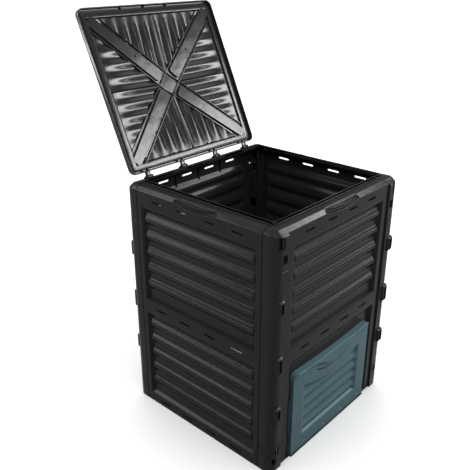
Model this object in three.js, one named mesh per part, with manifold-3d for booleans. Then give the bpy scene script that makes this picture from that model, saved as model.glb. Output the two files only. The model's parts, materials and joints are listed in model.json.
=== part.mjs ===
// Compost bin with lid, in millimetres, +Z up.
// The origin is the centre of the footprint, on the ground.
// The hatch faces -Y and the lid is hinged on the +Y side.
// The lid is open and the hatch is closed, as the bin stands in a garden while it is filled.
import * as THREE from "three";
import { mergeVertices } from "three/addons/utils/BufferGeometryUtils.js";
import Module from "manifold-3d";

const wasm = await Module();
wasm.setup();

// Body
const bodyWidth = 610; // left face to right face
const railSpan = 577; // front rail face to back rail face
const postStand = 5.5; // the posts stand this far proud of the front and back rails
const rimHeight = 776; // ground to the ledge under the lid
const tierHeight = 400; // ground to the seam between the two tiers
const cornerRadius = 28;
const cornerSteps = 5;
const skin = 3; // wall of the panels, the lid and the hatch
const clearance = 0.3; // between pieces that seat on each other
const cutOver = 12; // how far a cutter runs past what it cuts
const seatOverlap = 0.5; // how far the parts of one moulding run into each other

// Corners and posts
const postWidth = 50; // width of a post on the front and back faces
const postWrap = 49; // how far a post wraps round on to a side face
const cornerSkin = 6;
const topCornerHeight = 116; // from the ledge down to where a top corner stands on its post
const footCornerTop = 97; // where a post stands on its bottom corner
const flangeTuck = 7; // how far a front or back panel runs in behind its posts

// Recesses and ridges in the walls
const frontRecessGap = 30; // from a post to the recess, on the front and back walls
const sideRecessGap = 20; // and on the side walls
const recessDepth = 12;
const recessDraft = 4; // the recess's sides lean in by this much
const upperRecessDrop = 61; // from the ledge down to the upper recess
const lowerRecessDrop = 50; // from the seam between the tiers down to the lower recess
const lowerRecessRise = 35; // from the ground up to the lower recess
const lowerRecessSlope = 8;
const recessTopSlope = 14;
const ridgeCount = 5;
const firstRidge = 58; // from the bottom of the recess to the first crest
const ridgeTopGap = 39.8; // from the last crest up to the top of the recess
const ridgeCrestDepth = 3;
const crestHalf = 7;
const ridgeFootHalf = 17;
const ridgeEndGap = 13; // from a ridge's end to the side of the recess
const ridgeEndSlope = 8;
const panelBackDepth = 20; // depth of the foot flange
const tongueDrop = 14; // how far an upper panel's tongue hangs behind the lower panel
const tongueMargin = 5;
const sillHeight = 5; // the strip under the hatch

// Vents
const ventCount = 4;
const ventRowGap = 15; // from a row's outer spacing to the side of the recess
const ventLength = 46;
const ventHeight = 7;
const ventPoint = 3; // length of a vent's pointed end
const topVentDrop = 35.5; // from the ledge
const midVentDrop = 25; // from the seam between the tiers
const footVentLevel = 17;

// Rim
const chamfer = 12.3;
const ledgeReach = 43.5; // wall face to the lip's inner face
const lipThickness = 4;
const lipHeight = 8.5;
const chamferSkin = 3;

// Finger scoops in the rim
const scoopHalfLength = 84;
const scoopDip = 9.5; // how far its lower edge dips below the chamfer
const scoopDepth = 3.5;
const scoopShelfDrop = 5.5; // how far the shelf over it lies below the ledge
const scoopShelfThickness = 4;
const scoopSteps = 8;

// Hooks of the side panels and the slots that they reach through
const flangeThickness = 3;
const hookReach = 20; // how far a side panel's flange runs in behind the post
const hookInset = 25; // from the side face to a hook's outer face
const hookThickness = 3;
const hoodStand = 7;
const hoodMargin = 3.5;
const hookPlay = 0.5; // between a hook's end and its slot
const tallSlot = { drop: 52, height: 35, outer: 11, width: 22 };
const squareHole = { drop: 94, height: 25, outer: 24, width: 21 };
const upperHood = { drop: 122, height: 33, outer: 17, width: 13 };
const midHood = { drop: 49, height: 44, outer: 17, width: 13 };
const lowerHood = { drop: 209, height: 33, outer: 17, width: 13 };
const footHole = { rise: 60, height: 26, outer: 20, width: 16 };
const toeHole = { rise: 21, height: 25, outer: 12, width: 17 };

// Hatch and its opening
const openingLap = 10; // how far the hatch laps over its opening at the sides
const openingTopLap = 15; // and at the top
const hatchSideGap = 20; // from the side of the recess to the hatch
const hatchTopDrop = 100; // from the seam between the tiers down to the hatch
const hatchStand = 10; // the hatch's face stands this far proud of the front rail
const hatchCornerWidth = 33;
const hatchCornerDrop = 29;
const hatchFrameWidth = 55;
const hatchRecessBase = 57;
const hatchRecessEndDrop = 15; // from the hatch's top down to the recess's edge at its two ends
const hatchRecessSag = 42; // how much lower that edge is at its middle
const hatchRecessDepth = 7;
const hatchRidgeCount = 4;
const hatchFirstRidge = 81;
const hatchRidgeTopGap = 36; // from the last ridge up to the recess's edge
const hatchCrestHalf = 5;
const hatchFootHalf = 12;
const hatchRidgeStand = 4;
const hatchRidgeEndGap = 14;
const hatchHandleSteps = 8;
const hatchTabReach = 9;
const hatchTabThickness = 3;
const lowerTab = { rise: 53, height: 33 };
const upperTab = { drop: 58, height: 32 };
const lowerClip = { rise: 52, height: 36 };
const upperClip = { drop: 85, height: 61 };
const clipThickness = 5;
const clipLap = 7; // how far a clip reaches in over the hatch's tab

// Lid, written as it lies when it is closed
const lidSideInset = 23; // from the body's side face in to the lid's edge
const lidEndInset = 30.5; // from the rail's face in to the lid's edge
const lidCornerRadius = 22;
const lidEdgeRound = 3;
const lidSeat = 1.5; // the closed lid's skirt clears the ledge by this much
const skirtDepth = 20;
const lidBorder = 29;
const lidBorderRise = 7.5; // from the skirt's rim up to the border's underside
const deckEdgeRise = 9; // from the rim up to the ribbed deck's underside at the border
const deckCentreRise = 27; // and at the middle of the lid
const deckFoldDepth = 8;
const deckPitch = 42;
const foldCrestHalf = 5;
const foldValleyHalf = 7;
const armWidth = 50;
const armThickness = 13;
const armGroove = 36; // the groove in an arm's upper side
const armFloor = 3;
const deckArmLap = 5; // how far the ribbed deck runs in over an arm's edge
const deckBorderLap = 1.5;
const armEdgeRise = 8;
const armCentreRise = 25;

// Lid hinge
const openAngle = THREE.MathUtils.degToRad(114.77); // from closed to open
const hingeDepth = 14.4; // from the back rail's face in to the hinge line
const hingeRise = 1.7; // from the ledge up to the hinge line
const hingeEndGap = 30; // from a post to the outer hinge
const innerHinge = 77; // from the middle of the bin to an inner hinge
const hingeArmHalf = 9;
const knuckleRadius = 5.2;
const pinRadius = 2.6;
const pinPlay = 0.25;
const earThickness = 3.4;
const earRadius = 6.3;
const hingeArmDrop = 1; // from the hinge line down to the arm's underside
const pocketReach = 8; // from the hinge line in to the pocket's inner wall
const hingeFloorDrop = 8.3; // from the hinge line down to the floor of the hinge block's pocket
const heelReach = 6;
const roundSteps = 20;

const plastic = new THREE.MeshStandardMaterial({ color: 0x1b1b1c, roughness: 0.55, metalness: 0 });
const lidPlastic = new THREE.MeshStandardMaterial({ color: 0x222224, roughness: 0.45, metalness: 0 });
const tealPlastic = new THREE.MeshStandardMaterial({ color: 0x35585c, roughness: 0.5, metalness: 0 });
const pinPlastic = new THREE.MeshStandardMaterial({ color: 0x151516, roughness: 0.4, metalness: 0 });

/** A closed solid from a closed three.js geometry. */
function solidOf(geometry) {
  const bare = new THREE.BufferGeometry();
  bare.setAttribute("position", geometry.getAttribute("position").clone());
  if (geometry.index) bare.setIndex(geometry.index.clone());
  const merged = mergeVertices(bare);
  const mesh = new wasm.Mesh({
    numProp: 3,
    vertProperties: new Float32Array(merged.getAttribute("position").array),
    triVerts: new Uint32Array(merged.index.array),
  });
  return new wasm.Manifold(mesh);
}

/** The geometry of a finished solid, with flat faces. */
function geometryOf(solid) {
  const mesh = solid.getMesh();
  const geometry = new THREE.BufferGeometry();
  geometry.setAttribute("position", new THREE.BufferAttribute(new Float32Array(mesh.vertProperties), 3));
  geometry.setIndex(new THREE.BufferAttribute(new Uint32Array(mesh.triVerts), 1));
  geometry.computeVertexNormals();
  return geometry;
}

/** A box between two values of x, of y and of z, given in either order. */
function box(x, y, z) {
  const size = [x, y, z].map(([a, b]) => Math.abs(b - a));
  const centre = [x, y, z].map(([a, b]) => (a + b) / 2);
  return solidOf(new THREE.BoxGeometry(...size).translate(...centre));
}

/** An outline of [across, up] points carried between two values of y. */
function plate(outline, near, far) {
  const shape = new THREE.Shape(outline.map(([x, z]) => new THREE.Vector2(x, z)));
  const geometry = new THREE.ExtrudeGeometry(shape, { depth: far - near, bevelEnabled: false });
  return solidOf(geometry.rotateX(Math.PI / 2).translate(0, far, 0));
}

/** A section of [y, z] points carried between two values of x. */
function bar(section, from, to) {
  const shape = new THREE.Shape(section.map(([y, z]) => new THREE.Vector2(y, z)));
  const geometry = new THREE.ExtrudeGeometry(shape, { depth: to - from, bevelEnabled: false });
  const turn = new THREE.Matrix4().set(0, 0, 1, from, 1, 0, 0, 0, 0, 1, 0, 0, 0, 0, 0, 1);
  return solidOf(geometry.applyMatrix4(turn));
}

/** A plan of [x, y] points carried between two heights. */
function column(plan, low, high) {
  const shape = new THREE.Shape(plan.map(([x, y]) => new THREE.Vector2(x, y)));
  const geometry = new THREE.ExtrudeGeometry(shape, { depth: high - low, bevelEnabled: false });
  return solidOf(geometry.translate(0, 0, low));
}

/** A round rod along x. */
function rod(radius, from, to, y, z) {
  const geometry = new THREE.CylinderGeometry(radius, radius, to - from, roundSteps);
  return solidOf(geometry.rotateZ(Math.PI / 2).translate((from + to) / 2, y, z));
}

/** A block with a rectangle at its near face and another at its far face, each { half, low, high, y }. */
function taperBlock(near, far) {
  const corners = [near, far].flatMap(({ half, low, high, y }) => [
    [-half, y, low],
    [half, y, low],
    [half, y, high],
    [-half, y, high],
  ]);
  const geometry = new THREE.BufferGeometry();
  geometry.setAttribute("position", new THREE.Float32BufferAttribute(corners.flat(), 3));
  const faces = [
    [0, 1, 2, 3],
    [7, 6, 5, 4],
    [0, 4, 5, 1],
    [1, 5, 6, 2],
    [2, 6, 7, 3],
    [3, 7, 4, 0],
  ];
  geometry.setIndex(faces.flatMap(([a, b, c, d]) => [a, b, c, a, c, d]));
  return solidOf(geometry);
}

/** The points of a rectangle with round corners about the origin. */
function roundedPlan(halfX, halfY, radius, steps = cornerSteps) {
  const corners = [[1, 1], [-1, 1], [-1, -1], [1, -1]];
  return corners.flatMap(([sideX, sideY], quarter) =>
    Array.from({ length: steps + 1 }, (_, step) => {
      const angle = ((quarter + step / steps) * Math.PI) / 2;
      const x = sideX * (halfX - radius) + radius * Math.cos(angle);
      const y = sideY * (halfY - radius) + radius * Math.sin(angle);
      return [x, y];
    }),
  );
}

/** A solid through plans of equally many points, one for each level { z, plan }. */
function stack(levels) {
  const count = levels[0].plan.length;
  const points = levels.flatMap(({ z, plan }) => plan.map(([x, y]) => [x, y, z]));
  const faces = [];
  for (let level = 0; level + 1 < levels.length; level += 1) {
    for (let i = 0; i < count; i += 1) {
      const a = level * count + i;
      const b = level * count + ((i + 1) % count);
      faces.push(a, b, b + count, a, b + count, a + count);
    }
  }
  const top = (levels.length - 1) * count;
  for (let i = 1; i + 1 < count; i += 1) {
    faces.push(0, i + 1, i);
    faces.push(top, top + i, top + i + 1);
  }
  const geometry = new THREE.BufferGeometry();
  geometry.setAttribute("position", new THREE.Float32BufferAttribute(points.flat(), 3));
  geometry.setIndex(faces);
  return solidOf(geometry);
}

/** All the solids joined into one. */
function join(solids) {
  return solids.reduce((whole, solid) => whole.add(solid));
}

/** The first solid with all the others cut away from it. */
function cut(solid, cutters) {
  return cutters.reduce((whole, cutter) => whole.subtract(cutter), solid);
}

// Wall panels are drawn as the front one: x along the wall, y inwards from the rail's face, z up.
const bodyHalf = bodyWidth / 2;
const railHalf = railSpan / 2;
const frontHalf = bodyHalf - postWidth; // half the front rail between the posts
const sideHalf = railHalf + postStand - postWrap; // half the side rail between the posts
const frontPlateHalf = frontHalf + flangeTuck;
const sidePlateHalf = sideHalf - clearance;
const chamferBase = rimHeight - chamfer;
const panelSeat = tierHeight + clearance;
const topCornerBase = rimHeight - topCornerHeight;
const topVentLevel = rimHeight - topVentDrop;
const midVentLevel = tierHeight - midVentDrop;

/** The recesses of a wall, one in each tier. */
function wallRecesses(half) {
  const open = { half, low: tierHeight, top: rimHeight - upperRecessDrop, baseSlope: 0, open: true };
  const top = tierHeight - lowerRecessDrop;
  const closed = { half, low: lowerRecessRise, top, baseSlope: lowerRecessSlope, open: false };
  return { upper: open, lower: closed };
}

const frontRecess = wallRecesses(frontHalf - frontRecessGap);
const sideRecess = wallRecesses(sideHalf - sideRecessGap);
const hatchRecess = { ...frontRecess.lower, low: sillHeight, baseSlope: 0 };

/** The heights of a hole, tab or clip that stands a rise above the ground or a drop below a top. */
function span({ rise, drop, height }, top) {
  const low = drop === undefined ? rise : top - drop;
  return { low, high: low + height };
}

/** A hole in a corner or post, with its heights. */
function placed(hole, top) {
  return { ...hole, ...span(hole, top) };
}

const upperHoles = [placed(tallSlot, rimHeight), placed(squareHole, rimHeight)];
const upperHoodAt = placed(upperHood, topCornerBase);
const lowerHoodsAt = [placed(midHood, tierHeight), placed(lowerHood, tierHeight)];
const footHoles = [placed(footHole), placed(toeHole)];

/** The body's plan in the front panel's frame, drawn in by insetX and insetY. */
function bodyPlan(insetX, insetY) {
  const radius = Math.max(cornerRadius - Math.max(insetX, insetY), skin);
  const plan = roundedPlan(bodyHalf - insetX, railHalf + postStand - insetY, radius);
  return plan.map(([x, y]) => [x, y + railHalf]);
}

/** One wall's recess as a cutter. The margin is the skin's thickness where it cuts the hollow behind. */
function recessCutter(recess, margin) {
  const low = recess.open ? recess.low - tongueDrop - cutOver : recess.low - margin;
  const mouth = { half: recess.half + margin, low, high: recess.top + margin, y: margin };
  const floor = {
    half: recess.half - recessDraft + margin,
    low: low + recess.baseSlope,
    high: recess.top - recessTopSlope + margin,
    y: recessDepth + margin,
  };
  return taperBlock({ ...mouth, y: margin - cutOver }, mouth).add(taperBlock(mouth, floor));
}

/** The ridges that stand in a recess. The margin gives the hollows behind them. */
function ridgeBlocks(recess, margin) {
  const thin = margin / 2;
  const half = recess.half - ridgeEndGap - margin;
  const first = recess.low + firstRidge;
  const pitch = (recess.top - ridgeTopGap - first) / (ridgeCount - 1);
  return Array.from({ length: ridgeCount }, (_, index) => {
    const level = first + index * pitch;
    const crest = {
      half: half - ridgeEndSlope,
      low: level - crestHalf + thin,
      high: level + crestHalf - thin,
      y: ridgeCrestDepth + margin,
    };
    const foot = {
      half,
      low: level - ridgeFootHalf + thin,
      high: level + ridgeFootHalf - thin,
      y: recessDepth + margin + seatOverlap,
    };
    return taperBlock(crest, foot);
  });
}

/** The row of vents over a recess at one level, as cutters through the skin. */
function ventCutters(recess, level) {
  const half = ventLength / 2;
  const rise = ventHeight / 2;
  const pitch = (2 * (recess.half - ventRowGap)) / ventCount;
  return Array.from({ length: ventCount }, (_, index) => {
    const centre = (index - (ventCount - 1) / 2) * pitch;
    const outline = [
      [centre - half, level],
      [centre - half + ventPoint, level - rise],
      [centre + half - ventPoint, level - rise],
      [centre + half, level],
      [centre + half - ventPoint, level + rise],
      [centre - half + ventPoint, level + rise],
    ];
    return plate(outline, -cutOver, skin + seatOverlap);
  });
}

/** A lower panel's skin with its recess, foot flange and top flange. */
function lowerSkin(half, recess, ridged) {
  const wide = half + cutOver;
  const deep = panelBackDepth + cutOver;
  const block = box([-half, half], [0, panelBackDepth], [0, tierHeight]);
  const outer = block.subtract(recessCutter(recess, 0));
  const hollowBlock = box([-wide, wide], [skin, deep], [skin, tierHeight - skin]);
  const hollow = hollowBlock.subtract(recessCutter(recess, skin));
  const aboveRecess = [recess.top + skin, tierHeight + cutOver];
  const behindFlange = box([-wide, wide], [recessDepth - clearance, deep], aboveRecess);
  const ridges = ridged ? ridgeBlocks(recess, 0) : [];
  const ridgeHollows = ridged ? ridgeBlocks(recess, skin) : [];
  return cut(join([outer, ...ridges]), [join([hollow, ...ridgeHollows]), behindFlange]);
}

/** An upper panel's skin with its recess and the tongue that hangs behind the lower panel. */
function upperSkin(half, recess) {
  const low = tierHeight - tongueDrop;
  const back = recessDepth + skin;
  const wide = half + cutOver;
  const deep = back + cutOver;
  const tongueHalf = Math.min(half, frontHalf) - tongueMargin;
  const outer = cut(box([-half, half], [0, back], [low, chamferBase]), [
    recessCutter(recess, 0),
    box([-wide, wide], [-cutOver, recessDepth], [low - cutOver, panelSeat]),
  ]);
  const hollow = cut(box([-wide, wide], [skin, deep], [low - cutOver, chamferBase + cutOver]), [
    recessCutter(recess, skin),
    box([-wide - cutOver, wide + cutOver], [0, back], [low - 2 * cutOver, panelSeat + skin]),
  ]);
  const tongueEnds = [-1, 1].map((side) =>
    box([side * tongueHalf, side * wide], [-cutOver, deep], [low - cutOver, panelSeat]),
  );
  const ridges = ridgeBlocks(recess, 0);
  const ridgeHollows = ridgeBlocks(recess, skin);
  return cut(join([outer, ...ridges]), [join([hollow, ...ridgeHollows]), ...tongueEnds]);
}

/** The straight rim of an upper panel: chamfer, ledge and lip. */
function rimBar(half) {
  const lipOuter = ledgeReach - lipThickness;
  const bandBase = topVentLevel + ventHeight;
  const section = [
    [0, bandBase],
    [0, chamferBase],
    [chamfer, rimHeight],
    [lipOuter, rimHeight],
    [lipOuter, rimHeight + lipHeight],
    [ledgeReach, rimHeight + lipHeight],
    [ledgeReach, rimHeight - skin],
    [chamfer + skin / 2, rimHeight - skin],
    [skin, chamferBase - skin / 2],
    [skin, bandBase],
  ];
  return bar(section, -half, half);
}

/** The block that holds one corner of the body, as deep as a depth and between two heights. */
function cornerQuarter(side, depth, low, high) {
  return box([side * frontHalf, side * (bodyHalf + cutOver)], [-cutOver, depth], [low, high]);
}

/** The wall that wraps round one corner of the body, between two heights. */
function cornerShell(side, low, high, wall) {
  const outer = stack([
    { z: low, plan: bodyPlan(0, 0) },
    { z: high, plan: bodyPlan(0, 0) },
  ]);
  const inner = stack([
    { z: low - cutOver, plan: bodyPlan(wall, wall) },
    { z: high + cutOver, plan: bodyPlan(wall, wall) },
  ]);
  return outer.subtract(inner).intersect(cornerQuarter(side, postWrap - postStand, low, high));
}

/** A top corner with its chamfer and its part of the ledge. */
function topCorner(side) {
  const low = topCornerBase + clearance / 2;
  const normal = chamferSkin * Math.SQRT2;
  const outer = stack([
    { z: low, plan: bodyPlan(0, 0) },
    { z: chamferBase - postStand, plan: bodyPlan(0, 0) },
    { z: chamferBase, plan: bodyPlan(0, postStand) },
    { z: rimHeight, plan: bodyPlan(chamfer, chamfer + postStand) },
  ]);
  const innerTop = rimHeight - skin;
  const reach = innerTop - chamferBase + normal;
  const inner = stack([
    { z: low - cutOver, plan: bodyPlan(cornerSkin, cornerSkin) },
    { z: chamferBase - postStand - normal + cornerSkin, plan: bodyPlan(cornerSkin, cornerSkin) },
    { z: chamferBase - normal + cornerSkin, plan: bodyPlan(cornerSkin, cornerSkin + postStand) },
    { z: innerTop, plan: bodyPlan(reach, reach + postStand) },
  ]);
  return outer.subtract(inner).intersect(cornerQuarter(side, ledgeReach, low, rimHeight));
}

/** A bottom corner with its flat foot. */
function footCorner(side) {
  const foot = stack([
    { z: 0, plan: bodyPlan(0, 0) },
    { z: skin, plan: bodyPlan(0, 0) },
  ]);
  const shell = cornerShell(side, 0, footCornerTop - clearance / 2, cornerSkin);
  return shell.add(foot.intersect(cornerQuarter(side, ledgeReach, 0, skin)));
}

/** The cutter for a slot or hole in a corner's front face. */
function faceCutter(side, hole) {
  const outer = side * (bodyHalf - hole.outer);
  const inner = side * (bodyHalf - hole.outer - hole.width);
  return box([outer, inner], [-postStand - hoodStand - cutOver, cornerSkin], [hole.low, hole.high]);
}

/** A panel with the shallow scoop for the fingers under its rim. */
function withScoop(panel) {
  const shelfTop = rimHeight - scoopShelfDrop;
  const lipBase = shelfTop - scoopShelfThickness;
  const arc = Array.from({ length: scoopSteps + 1 }, (_, step) => (2 * step) / scoopSteps - 1);
  const shelfPlan = [
    [scoopHalfLength, chamfer + skin],
    [-scoopHalfLength, chamfer + skin],
    ...arc.map((t) => [t * scoopHalfLength, chamfer * t * t]),
  ];
  const pocketOutline = [
    ...arc.map((t) => [t * scoopHalfLength, chamferBase - scoopDip * (1 - t * t)]),
    [scoopHalfLength, lipBase],
    [-scoopHalfLength, lipBase],
  ];
  const shelf = column(shelfPlan, shelfTop - chamfer, shelfTop);
  const pocketBack = plate(pocketOutline, 0, scoopDepth + skin);
  const pocket = plate(pocketOutline, -cutOver, scoopDepth);
  return join([panel, shelf, pocketBack]).subtract(pocket);
}

/** The flanges and hooks on both ends of a side panel that sit behind the posts. */
function sideHooks(low, high, holes) {
  const flangeFace = cornerSkin + clearance;
  const flangeBack = flangeFace + flangeThickness;
  const legEnd = sideHalf + hookReach;
  const hookEnd = sideHalf + postWrap - clearance;
  const hookBack = hookInset + hookThickness;
  return [-1, 1].flatMap((side) => [
    box([side * (sidePlateHalf - skin), side * sidePlateHalf], [0, flangeBack], [low, high]),
    box([side * (sidePlateHalf - skin), side * legEnd], [flangeFace, flangeBack], [low, high]),
    box([side * (legEnd - flangeThickness), side * legEnd], [flangeFace, hookBack], [low, high]),
    ...holes.map((hole) =>
      box([side * (legEnd - flangeThickness), side * hookEnd], [hookInset, hookBack], [
        hole.low + hookPlay,
        hole.high - hookPlay,
      ]),
    ),
  ]);
}

/** The upper panel of a side wall. */
function sideUpperPanel() {
  const hooks = sideHooks(panelSeat, chamferBase - cornerSkin, [...upperHoles, upperHoodAt]);
  const panel = join([upperSkin(sidePlateHalf, sideRecess.upper), rimBar(sidePlateHalf), ...hooks]);
  return withScoop(cut(panel, ventCutters(sideRecess.upper, topVentLevel)));
}

/** The lower panel of a side wall. */
function sideLowerPanel() {
  const recess = sideRecess.lower;
  const hooks = sideHooks(skin + clearance, tierHeight, [...lowerHoodsAt, ...footHoles]);
  const panel = join([lowerSkin(sidePlateHalf, recess, true), ...hooks]);
  return cut(panel, [...ventCutters(recess, midVentLevel), ...ventCutters(recess, footVentLevel)]);
}

/** The upper panel of the front or back wall, with both top corners. */
function cornerUpperPanel() {
  const rim = rimBar(frontHalf + seatOverlap);
  const skinned = upperSkin(frontPlateHalf, frontRecess.upper);
  const panel = join([skinned, rim, topCorner(-1), topCorner(1)]);
  const lipEnd = bodyHalf - ledgeReach + lipThickness;
  const lipDepth = [ledgeReach - lipThickness, ledgeReach];
  const lipSpan = [rimHeight - skin, rimHeight + lipHeight];
  const lipEnds = [-1, 1].map((side) => box([side * frontHalf, side * lipEnd], lipDepth, lipSpan));
  const holes = [-1, 1].flatMap((side) => upperHoles.map((hole) => faceCutter(side, hole)));
  return cut(join([panel, ...lipEnds]), [...ventCutters(frontRecess.upper, topVentLevel), ...holes]);
}

/** The slots and holes in both bottom corners. */
function footCutters() {
  return [-1, 1].flatMap((side) => footHoles.map((hole) => faceCutter(side, hole)));
}

/** The lower panel of the back wall, with both bottom corners. */
function backLowerPanel() {
  const recess = frontRecess.lower;
  const panel = join([lowerSkin(frontPlateHalf, recess, true), footCorner(-1), footCorner(1)]);
  const vents = [...ventCutters(recess, midVentLevel), ...ventCutters(recess, footVentLevel)];
  return cut(panel, [...vents, ...footCutters()]);
}

// The hatch, its opening and the depths behind its face, in the front panel's frame
const hatchHalf = hatchRecess.half - hatchSideGap;
const hatchTop = tierHeight - hatchTopDrop;
const openingHalf = hatchHalf - openingLap;
const openingTop = hatchTop - openingTopLap;
const hatchFace = -hatchStand;
const hatchBack = recessDepth - clearance;
const hatchBase = sillHeight + clearance;
const tabFront = hatchBack - hatchTabThickness;
const tabEnd = hatchHalf + hatchTabReach;

/** The lower panel of the front wall, with the hatch's opening, sill and clips. */
function frontLowerPanel() {
  const sill = box([-hatchHalf, hatchHalf], [hatchFace + skin, skin], [0, sillHeight]);
  const clipBack = tabFront - clearance;
  const clipDepth = [clipBack - clipThickness, clipBack];
  const clips = [-1, 1].flatMap((side) =>
    [lowerClip, upperClip].map((clip) => {
      const { low, high } = span(clip, hatchTop);
      return box([side * (tabEnd - clipLap), side * hatchRecess.half], clipDepth, [low, high]);
    }),
  );
  const openingSpan = [sillHeight + skin, openingTop];
  const opening = box([-openingHalf, openingHalf], [skin, panelBackDepth], openingSpan);
  const plain = lowerSkin(frontPlateHalf, hatchRecess, false);
  const panel = join([plain, footCorner(-1), footCorner(1), sill, ...clips]);
  return cut(panel, [opening, ...ventCutters(hatchRecess, midVentLevel), ...footCutters()]);
}

/** The hatch's outline drawn in by an inset. */
function hatchOutline(inset) {
  const half = hatchHalf - inset;
  const top = hatchTop - inset;
  const topHalf = hatchHalf - hatchCornerWidth - inset / 2;
  const sideTop = hatchTop - hatchCornerDrop - inset / 2;
  return [
    [-half, hatchBase + inset],
    [half, hatchBase + inset],
    [half, sideTop],
    [topHalf, top],
    [-topHalf, top],
    [-half, sideTop],
  ];
}

/** The outline of the recess in the hatch's face, under its sagging handle bar. */
function hatchRecessOutline(margin) {
  const half = hatchHalf - hatchFrameWidth + margin;
  const middle = hatchTop - hatchRecessEndDrop - hatchRecessSag;
  const arc = Array.from({ length: hatchHandleSteps + 1 }, (_, step) => {
    const t = 1 - (2 * step) / hatchHandleSteps;
    return [t * half, middle + hatchRecessSag * t * t + margin];
  });
  return [[-half, hatchRecessBase - margin], [half, hatchRecessBase - margin], ...arc];
}

/** The hatch: a tray with a ribbed recess, a handle bar and four tabs. */
function hatchSolid() {
  const floor = hatchFace + hatchRecessDepth;
  const ridgeHalf = hatchHalf - hatchFrameWidth - hatchRidgeEndGap;
  const lastRidge = hatchTop - hatchRecessEndDrop - hatchRecessSag - hatchRidgeTopGap;
  const pitch = (lastRidge - hatchFirstRidge) / (hatchRidgeCount - 1);
  const ridges = (margin) =>
    Array.from({ length: hatchRidgeCount }, (_, index) => {
      const level = hatchFirstRidge + index * pitch;
      const near = { half: ridgeHalf - margin, y: floor - hatchRidgeStand + margin };
      const far = { half: ridgeHalf + hatchRidgeStand - margin, y: floor + margin + seatOverlap };
      const thin = margin / 2;
      return taperBlock(
        { ...near, low: level - hatchCrestHalf + thin, high: level + hatchCrestHalf - thin },
        { ...far, low: level - hatchFootHalf + thin, high: level + hatchFootHalf - thin },
      );
    });
  const outer = plate(hatchOutline(0), hatchFace, hatchBack);
  const recess = plate(hatchRecessOutline(0), hatchFace - cutOver, floor);
  const hollow = plate(hatchOutline(skin), hatchFace + skin, hatchBack + cutOver);
  const recessBack = plate(hatchRecessOutline(skin), hatchFace, floor + skin);
  const shell = cut(outer.subtract(recess), [hollow.subtract(recessBack)]);
  const ribbed = cut(join([shell, ...ridges(0)]), ridges(skin));
  const tabs = [-1, 1].flatMap((side) =>
    [lowerTab, upperTab].map((tab) => {
      const { low, high } = span(tab, hatchTop);
      return box([side * (hatchHalf - seatOverlap), side * tabEnd], [tabFront, hatchBack], [low, high]);
    }),
  );
  return join([ribbed, ...tabs]);
}

/** A corner post with its hooded slots. */
function postSolid(side) {
  const low = footCornerTop + clearance / 2;
  const high = topCornerBase - clearance / 2;
  const hoods = [upperHoodAt, ...lowerHoodsAt];
  const pads = hoods.map((hole) => {
    const outer = side * (bodyHalf - hole.outer + hoodMargin);
    const inner = side * (bodyHalf - hole.outer - hole.width - hoodMargin);
    return box([outer, inner], [-postStand - hoodStand, -clearance - seatOverlap], [
      hole.low - hoodMargin,
      hole.high + hoodMargin,
    ]);
  });
  const wall = cornerShell(side, low, high, postStand - clearance);
  return cut(join([wall, ...pads]), hoods.map((hole) => faceCutter(side, hole)));
}

// The hinge line and the pocket in which the lid's hinge arm turns
const hingeBack = railHalf - hingeDepth;
const hingeHeight = rimHeight + hingeRise;
const outerHinge = frontHalf - hingeEndGap;
const hingeStations = [-outerHinge, -innerHinge, innerHinge, outerHinge];
const pocketHalf = hingeArmHalf + clearance;
const pocketFloor = hingeHeight - hingeFloorDrop;

/** One hinge block of the back panel: a pocket between two ears that carry the pin. */
function withHingeBlock(panel, station) {
  const outerHalf = pocketHalf + earThickness;
  const pocketBack = hingeDepth + pocketReach;
  const blockBase = pocketFloor - skin;
  const from = station - outerHalf;
  const to = station + outerHalf;
  const section = [
    [blockBase - chamferBase, blockBase],
    [pocketBack + skin, blockBase],
    [pocketBack + skin, rimHeight],
    [chamfer, rimHeight],
  ];
  const earSection = [
    [hingeDepth - earRadius, pocketFloor],
    [hingeDepth + earRadius, pocketFloor],
    [hingeDepth + earRadius, hingeHeight],
    [hingeDepth - earRadius, hingeHeight],
  ];
  const ear = bar(earSection, from, to).add(rod(earRadius, from, to, hingeDepth, hingeHeight));
  const pocketSpan = [pocketFloor, hingeHeight + earRadius + cutOver];
  const pocket = box([station - pocketHalf, station + pocketHalf], [-cutOver, pocketBack], pocketSpan);
  const bore = rod(pinRadius + pinPlay, from - cutOver, to + cutOver, hingeDepth, hingeHeight);
  return cut(join([panel, bar(section, from, to), ear]), [pocket, bore]);
}

/** A hinge pin in its place in the bin's frame. */
function hingePin(station) {
  const half = pocketHalf + earThickness;
  return rod(pinRadius, station - half, station + half, hingeBack, hingeHeight);
}

// The lid is drawn closed, about its middle, from the rim of its skirt up.
const lidHalfWidth = bodyHalf - lidSideInset;
const lidHalfLength = railHalf - lidEndInset;
const deckHalfX = lidHalfWidth - lidBorder;
const deckHalfY = lidHalfLength - lidBorder;
const deckDiagonal = Math.hypot(deckHalfX, deckHalfY);
const lidLift = rimHeight + lidSeat - hingeHeight; // from the hinge line up to the closed lid's rim

/** The lid's border and skirt. */
function lidFrame() {
  const plan = (inset) =>
    roundedPlan(lidHalfWidth - inset, lidHalfLength - inset, lidCornerRadius - inset);
  const outer = stack([
    { z: 0, plan: plan(0) },
    { z: skirtDepth - lidEdgeRound, plan: plan(0) },
    { z: skirtDepth, plan: plan(lidEdgeRound) },
  ]);
  const skirtHollow = stack([
    { z: -cutOver, plan: plan(skin) },
    { z: lidBorderRise, plan: plan(skin) },
  ]);
  const window = box([-deckHalfX, deckHalfX], [-deckHalfY, deckHalfY], [-cutOver, skirtDepth + cutOver]);
  return cut(outer, [skirtHollow, window]);
}

/** A shift up by a rise that changes with x and y by the given slopes. */
function sloped(slopeX, slopeY, rise) {
  return new THREE.Matrix4().set(1, 0, 0, 0, 0, 1, 0, 0, slopeX, slopeY, 1, rise, 0, 0, 0, 1);
}

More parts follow.
